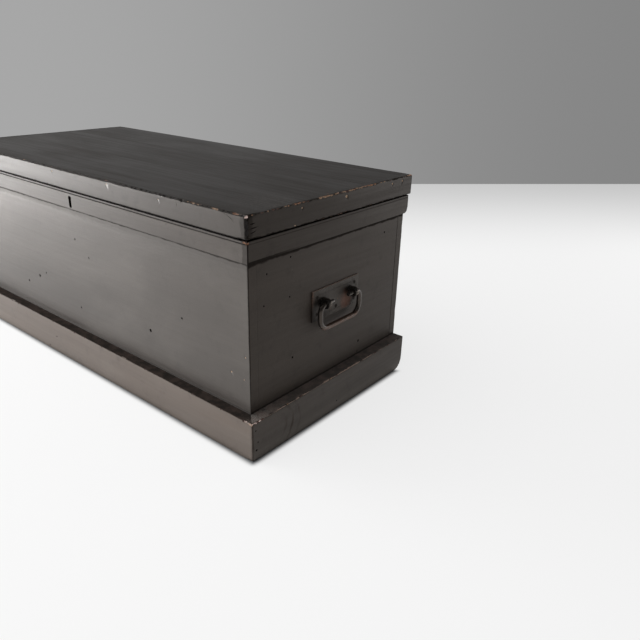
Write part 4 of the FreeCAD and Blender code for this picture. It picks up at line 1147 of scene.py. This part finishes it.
pine = {grain: bare_pine(f"pine_along_{grain}", grain, (0.4, 0.2, 0.1)) for grain in "xy"}
# Near-black inside holes, the keyhole and cracks: painted shade, with dirt flecks.
shaded_hole = hollow("shaded_hole", (0.006, 0.004, 0.003), 0.8, gloss=0.0)
pale_chip = hollow("pale_chip", (0.55, 0.38, 0.25), 0.7, 0.5)
flake_finishes = [hollow(f"{word}_flake", *look) for word, *look in (
    ("orange", (0.34, 0.175, 0.1), 0.7, 0.35), ("tan", (0.35, 0.22, 0.14), 0.7, 0.4),
    ("pale", (0.7, 0.55, 0.5), 0.65, 0.2), ("brown", (0.11, 0.055, 0.042), 0.75, 0.6),
    ("black", (0.012, 0.008, 0.007), 0.9))]
# Darker copies of the flake colours for the front, where the lamps are brighter: painted shade.
darker_front_flake_finishes = [hollow(f"{word}_front_flake", *look) for word, *look in (
    ("orange", (0.17, 0.085, 0.05), 0.8, 0.4), ("tan", (0.22, 0.14, 0.09), 0.8, 0.4),
    ("pale", (0.4, 0.31, 0.27), 0.7, 0.3), ("brown", (0.06, 0.03, 0.023), 0.85, 0.6))] + [flake_finishes[BLACK]]

wall = walls(paints, pine)
base = strips("plinth", "chest", (WALL_X, WALL_Y), (PLINTH_X - WALL_X, PLINTH_Y - WALL_Y), 0.0, PLINTH_TOP,
              5.0 * MM, 31.0, (rub_plinth_front, rub_plinth_right), ("ledge_front", "ledge_right", "ledge_left"),
              arris=0.38, knock=PLINTH_KNOCK)
band = strips("rim_band", "chest", (WALL_X, WALL_Y), (BAND_THICK, BAND_THICK), BAND_FOOT, BAND_TOP, 0.8 * MM, 41.0,
              (rub_band_front, no_rub), ("band_top",) * 3, knock=BAND_KNOCK, grooves=(GROOVE_FRONT, GROOVE_END))
edging = strips("lid_edging", "lid", (LID_X, LID_Y), (EDGING_THICK, EDGING_THICK), EDGING_FOOT, LID_TOP, 7.0 * MM,
                53.0, (rub_lid_front, rub_lid_right), ("lid_board_front",) * 3, arris=0.32)
lid = lid_boards(paints, pine)
# The keyhole, nail holes and cracks are lined with near-black painted shade.
keyhole(wall["front_board"], band["front"], shaded_hole)
hinge_recesses(wall["back_board"], lid["back"], pine["x"])
pits_in(wall["front_board"], "front", -WALL_Y,
        ((-0.022, 0.292), (0.023, 0.261), (-0.202, 0.167, 1.6), (-0.26, 0.14, 1.2), (-0.17, 0.181), (-0.035, 0.133),
         (0.216, 0.156, 1.5), (0.317, 0.212)), shaded_hole, 2.6 * MM, 2.0 * MM)
pits_in(wall["front_board"], "front", -WALL_Y, ((0.446, 0.148, 1.2), (0.477, 0.143), (0.482, 0.188)),
        pale_chip, 1.8 * MM, 0.6 * MM)
pits_in(wall["right_end_board"], "right", WALL_X,
        ((-0.127, 0.346), (-0.186, 0.33), (0.162, 0.33, 1.2), (-0.129, 0.273), (-0.12, 0.15, 1.3), (0.089, 0.109, 1.6),
         (0.087, 0.085), (-0.194, 0.275)), shaded_hole, 2.0 * MM, 1.8 * MM)
pits_in(base["front"], "front", -PLINTH_Y, ((-0.124, 0.041), (-0.164, 0.006)), shaded_hole, 1.9 * MM, 1.6 * MM)
pits_in(base["right"], "right", PLINTH_X, ((-0.012, 0.018), (-0.243, 0.062), (-0.242, 0.021, 1.3), (-0.238, 0.036)),
        shaded_hole, 1.8 * MM, 1.6 * MM)
pits_in(edging["right"], "right", LID_X + EDGING_THICK,
        ((0.193, 0.433, 1.2), (0.157, 0.432, 1.2), (0.007, 0.431, 1.7), (-0.115, 0.431), (-0.132, 0.404)),
        pale_chip, 2.0 * MM, 0.7 * MM)
pits_in(edging["front"], "front", -LID_Y - EDGING_THICK, ((-0.049, 0.432), (0.141, 0.434), (0.293, 0.431)),
        pale_chip, 1.8 * MM, 0.7 * MM)
cracks(edging["front"], "front", -LID_Y - EDGING_THICK,
       ((((0.340, 0.437), (0.342, 0.431), (0.341, 0.425)), 0.9 * MM, 1.2 * MM),
        (((0.452, 0.437), (0.463, 0.435), (0.474, 0.430), (0.479, 0.425)), 0.7 * MM, 1.2 * MM)),
       shaded_hole)
cracks(edging["right"], "right", LID_X + EDGING_THICK,
       ((((-0.238, 0.4265), (-0.231, 0.4262), (-0.224, 0.4272)), 1.9 * MM, 1.6 * MM),
        (((-0.238, 0.4185), (-0.229, 0.4195), (-0.218, 0.4202)), 2.0 * MM, 1.6 * MM),
        (((-0.238, 0.4115), (-0.229, 0.4125), (-0.222, 0.4152)), 1.6 * MM, 1.6 * MM)), shaded_hole)
lid_flakes(edging["front"], edging["right"])
band_corner(band["front"], band["right"])
plinth_flakes(base["front"], base["right"])

# Near-black painted shadows of the bail and lugs on the plate; RUSTY is a rust stain.
PAINTED_SHADOW = (0.006, 0.005, 0.0045)
RUSTY = (0.085, 0.032, 0.018)
plate_x = WALL_X + 3 * MM
plate_spots = [(PAINTED_SHADOW, (plate_x, -0.058, 0.212), 50 * MM, 0.95), (PAINTED_SHADOW, (plate_x, -0.04, 0.236), 19 * MM, 0.8),
               (RUSTY, (plate_x, 0.034, 0.222), 28 * MM, 0.9), (PAINTED_SHADOW, (plate_x, 0.046, 0.242), 24 * MM, 0.85)]
# The plate's pale colour on upward faces is painted light on its top edge, which lies in shade.
plate_iron = old_iron("plate_iron", 0.037, 0.1, 0.5, (("Y", -69 * MM, -60 * MM, 0.35),), 0.05, plate_spots,
                      (0.3, 0.22, 0.18), gloss=0.3)
lug_iron = old_iron("lug_iron", 0.03, 0.06, 0.25, metal=0.6, dust_and_painted_light=None)
bail_iron = old_iron("bail_iron", 0.012, 0.08, 0.26, (("Z", 188 * MM, 198 * MM, 0.55),), 0.03, dust_and_painted_light=None)
handle_screw_iron = old_iron("handle_screw_iron", 0.004, 0.05, 0.95, dust_and_painted_light=None)
hinge_iron = old_iron("hinge_iron", 0.03, 0.1, 0.45)
lock_iron = old_iron("lock_iron", 0.04, 0.1, 0.4)
fastener_steel = steel("fastener_steel")
finishes = {"handle_iron": bail_iron, "hinge_iron": hinge_iron, "lock_iron": lock_iron,
            "steel_fasteners": fastener_steel}
for name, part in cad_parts.items():
    if part.hide_render:
        continue
    if name.startswith(("bottom_board", "bearer_right", "bearer_left", "bearer_middle", "lid_batten")):
        for spot in part.material_slots:
            spot.material = pine["y" if name.startswith(("bearer", "lid_batten")) else "x"]
        continue
    if name.endswith("handle_plate"):
        soften(name, 1.0 * MM, plate_iron)
    elif name.endswith("handle_lugs"):
        soften(name, 0.8 * MM, lug_iron)
    elif name == "handle_screws":
        soften(name, 0.3 * MM, handle_screw_iron)
    else:
        soften(name, 0.3 * MM, finishes[frame_slot(name)])

floor()
backdrop()
camera()
soft_lamp("overhead", (-0.9, -1.7, 2.9), (0, -0.2, 0.3), 4.0, 3.4, 100)
soft_lamp("front_left", (-2.75, -1.12, 0.6), (-0.2, -0.2, 0.3), 2.2, 1.1, 128)
soft_lamp("right_back", (1.45, 1.7, 0.3), (0.5, 0.2, 0.1), 1.0, 0.5, 5.5)
bpy.context.scene.view_settings.view_transform = "Standard"
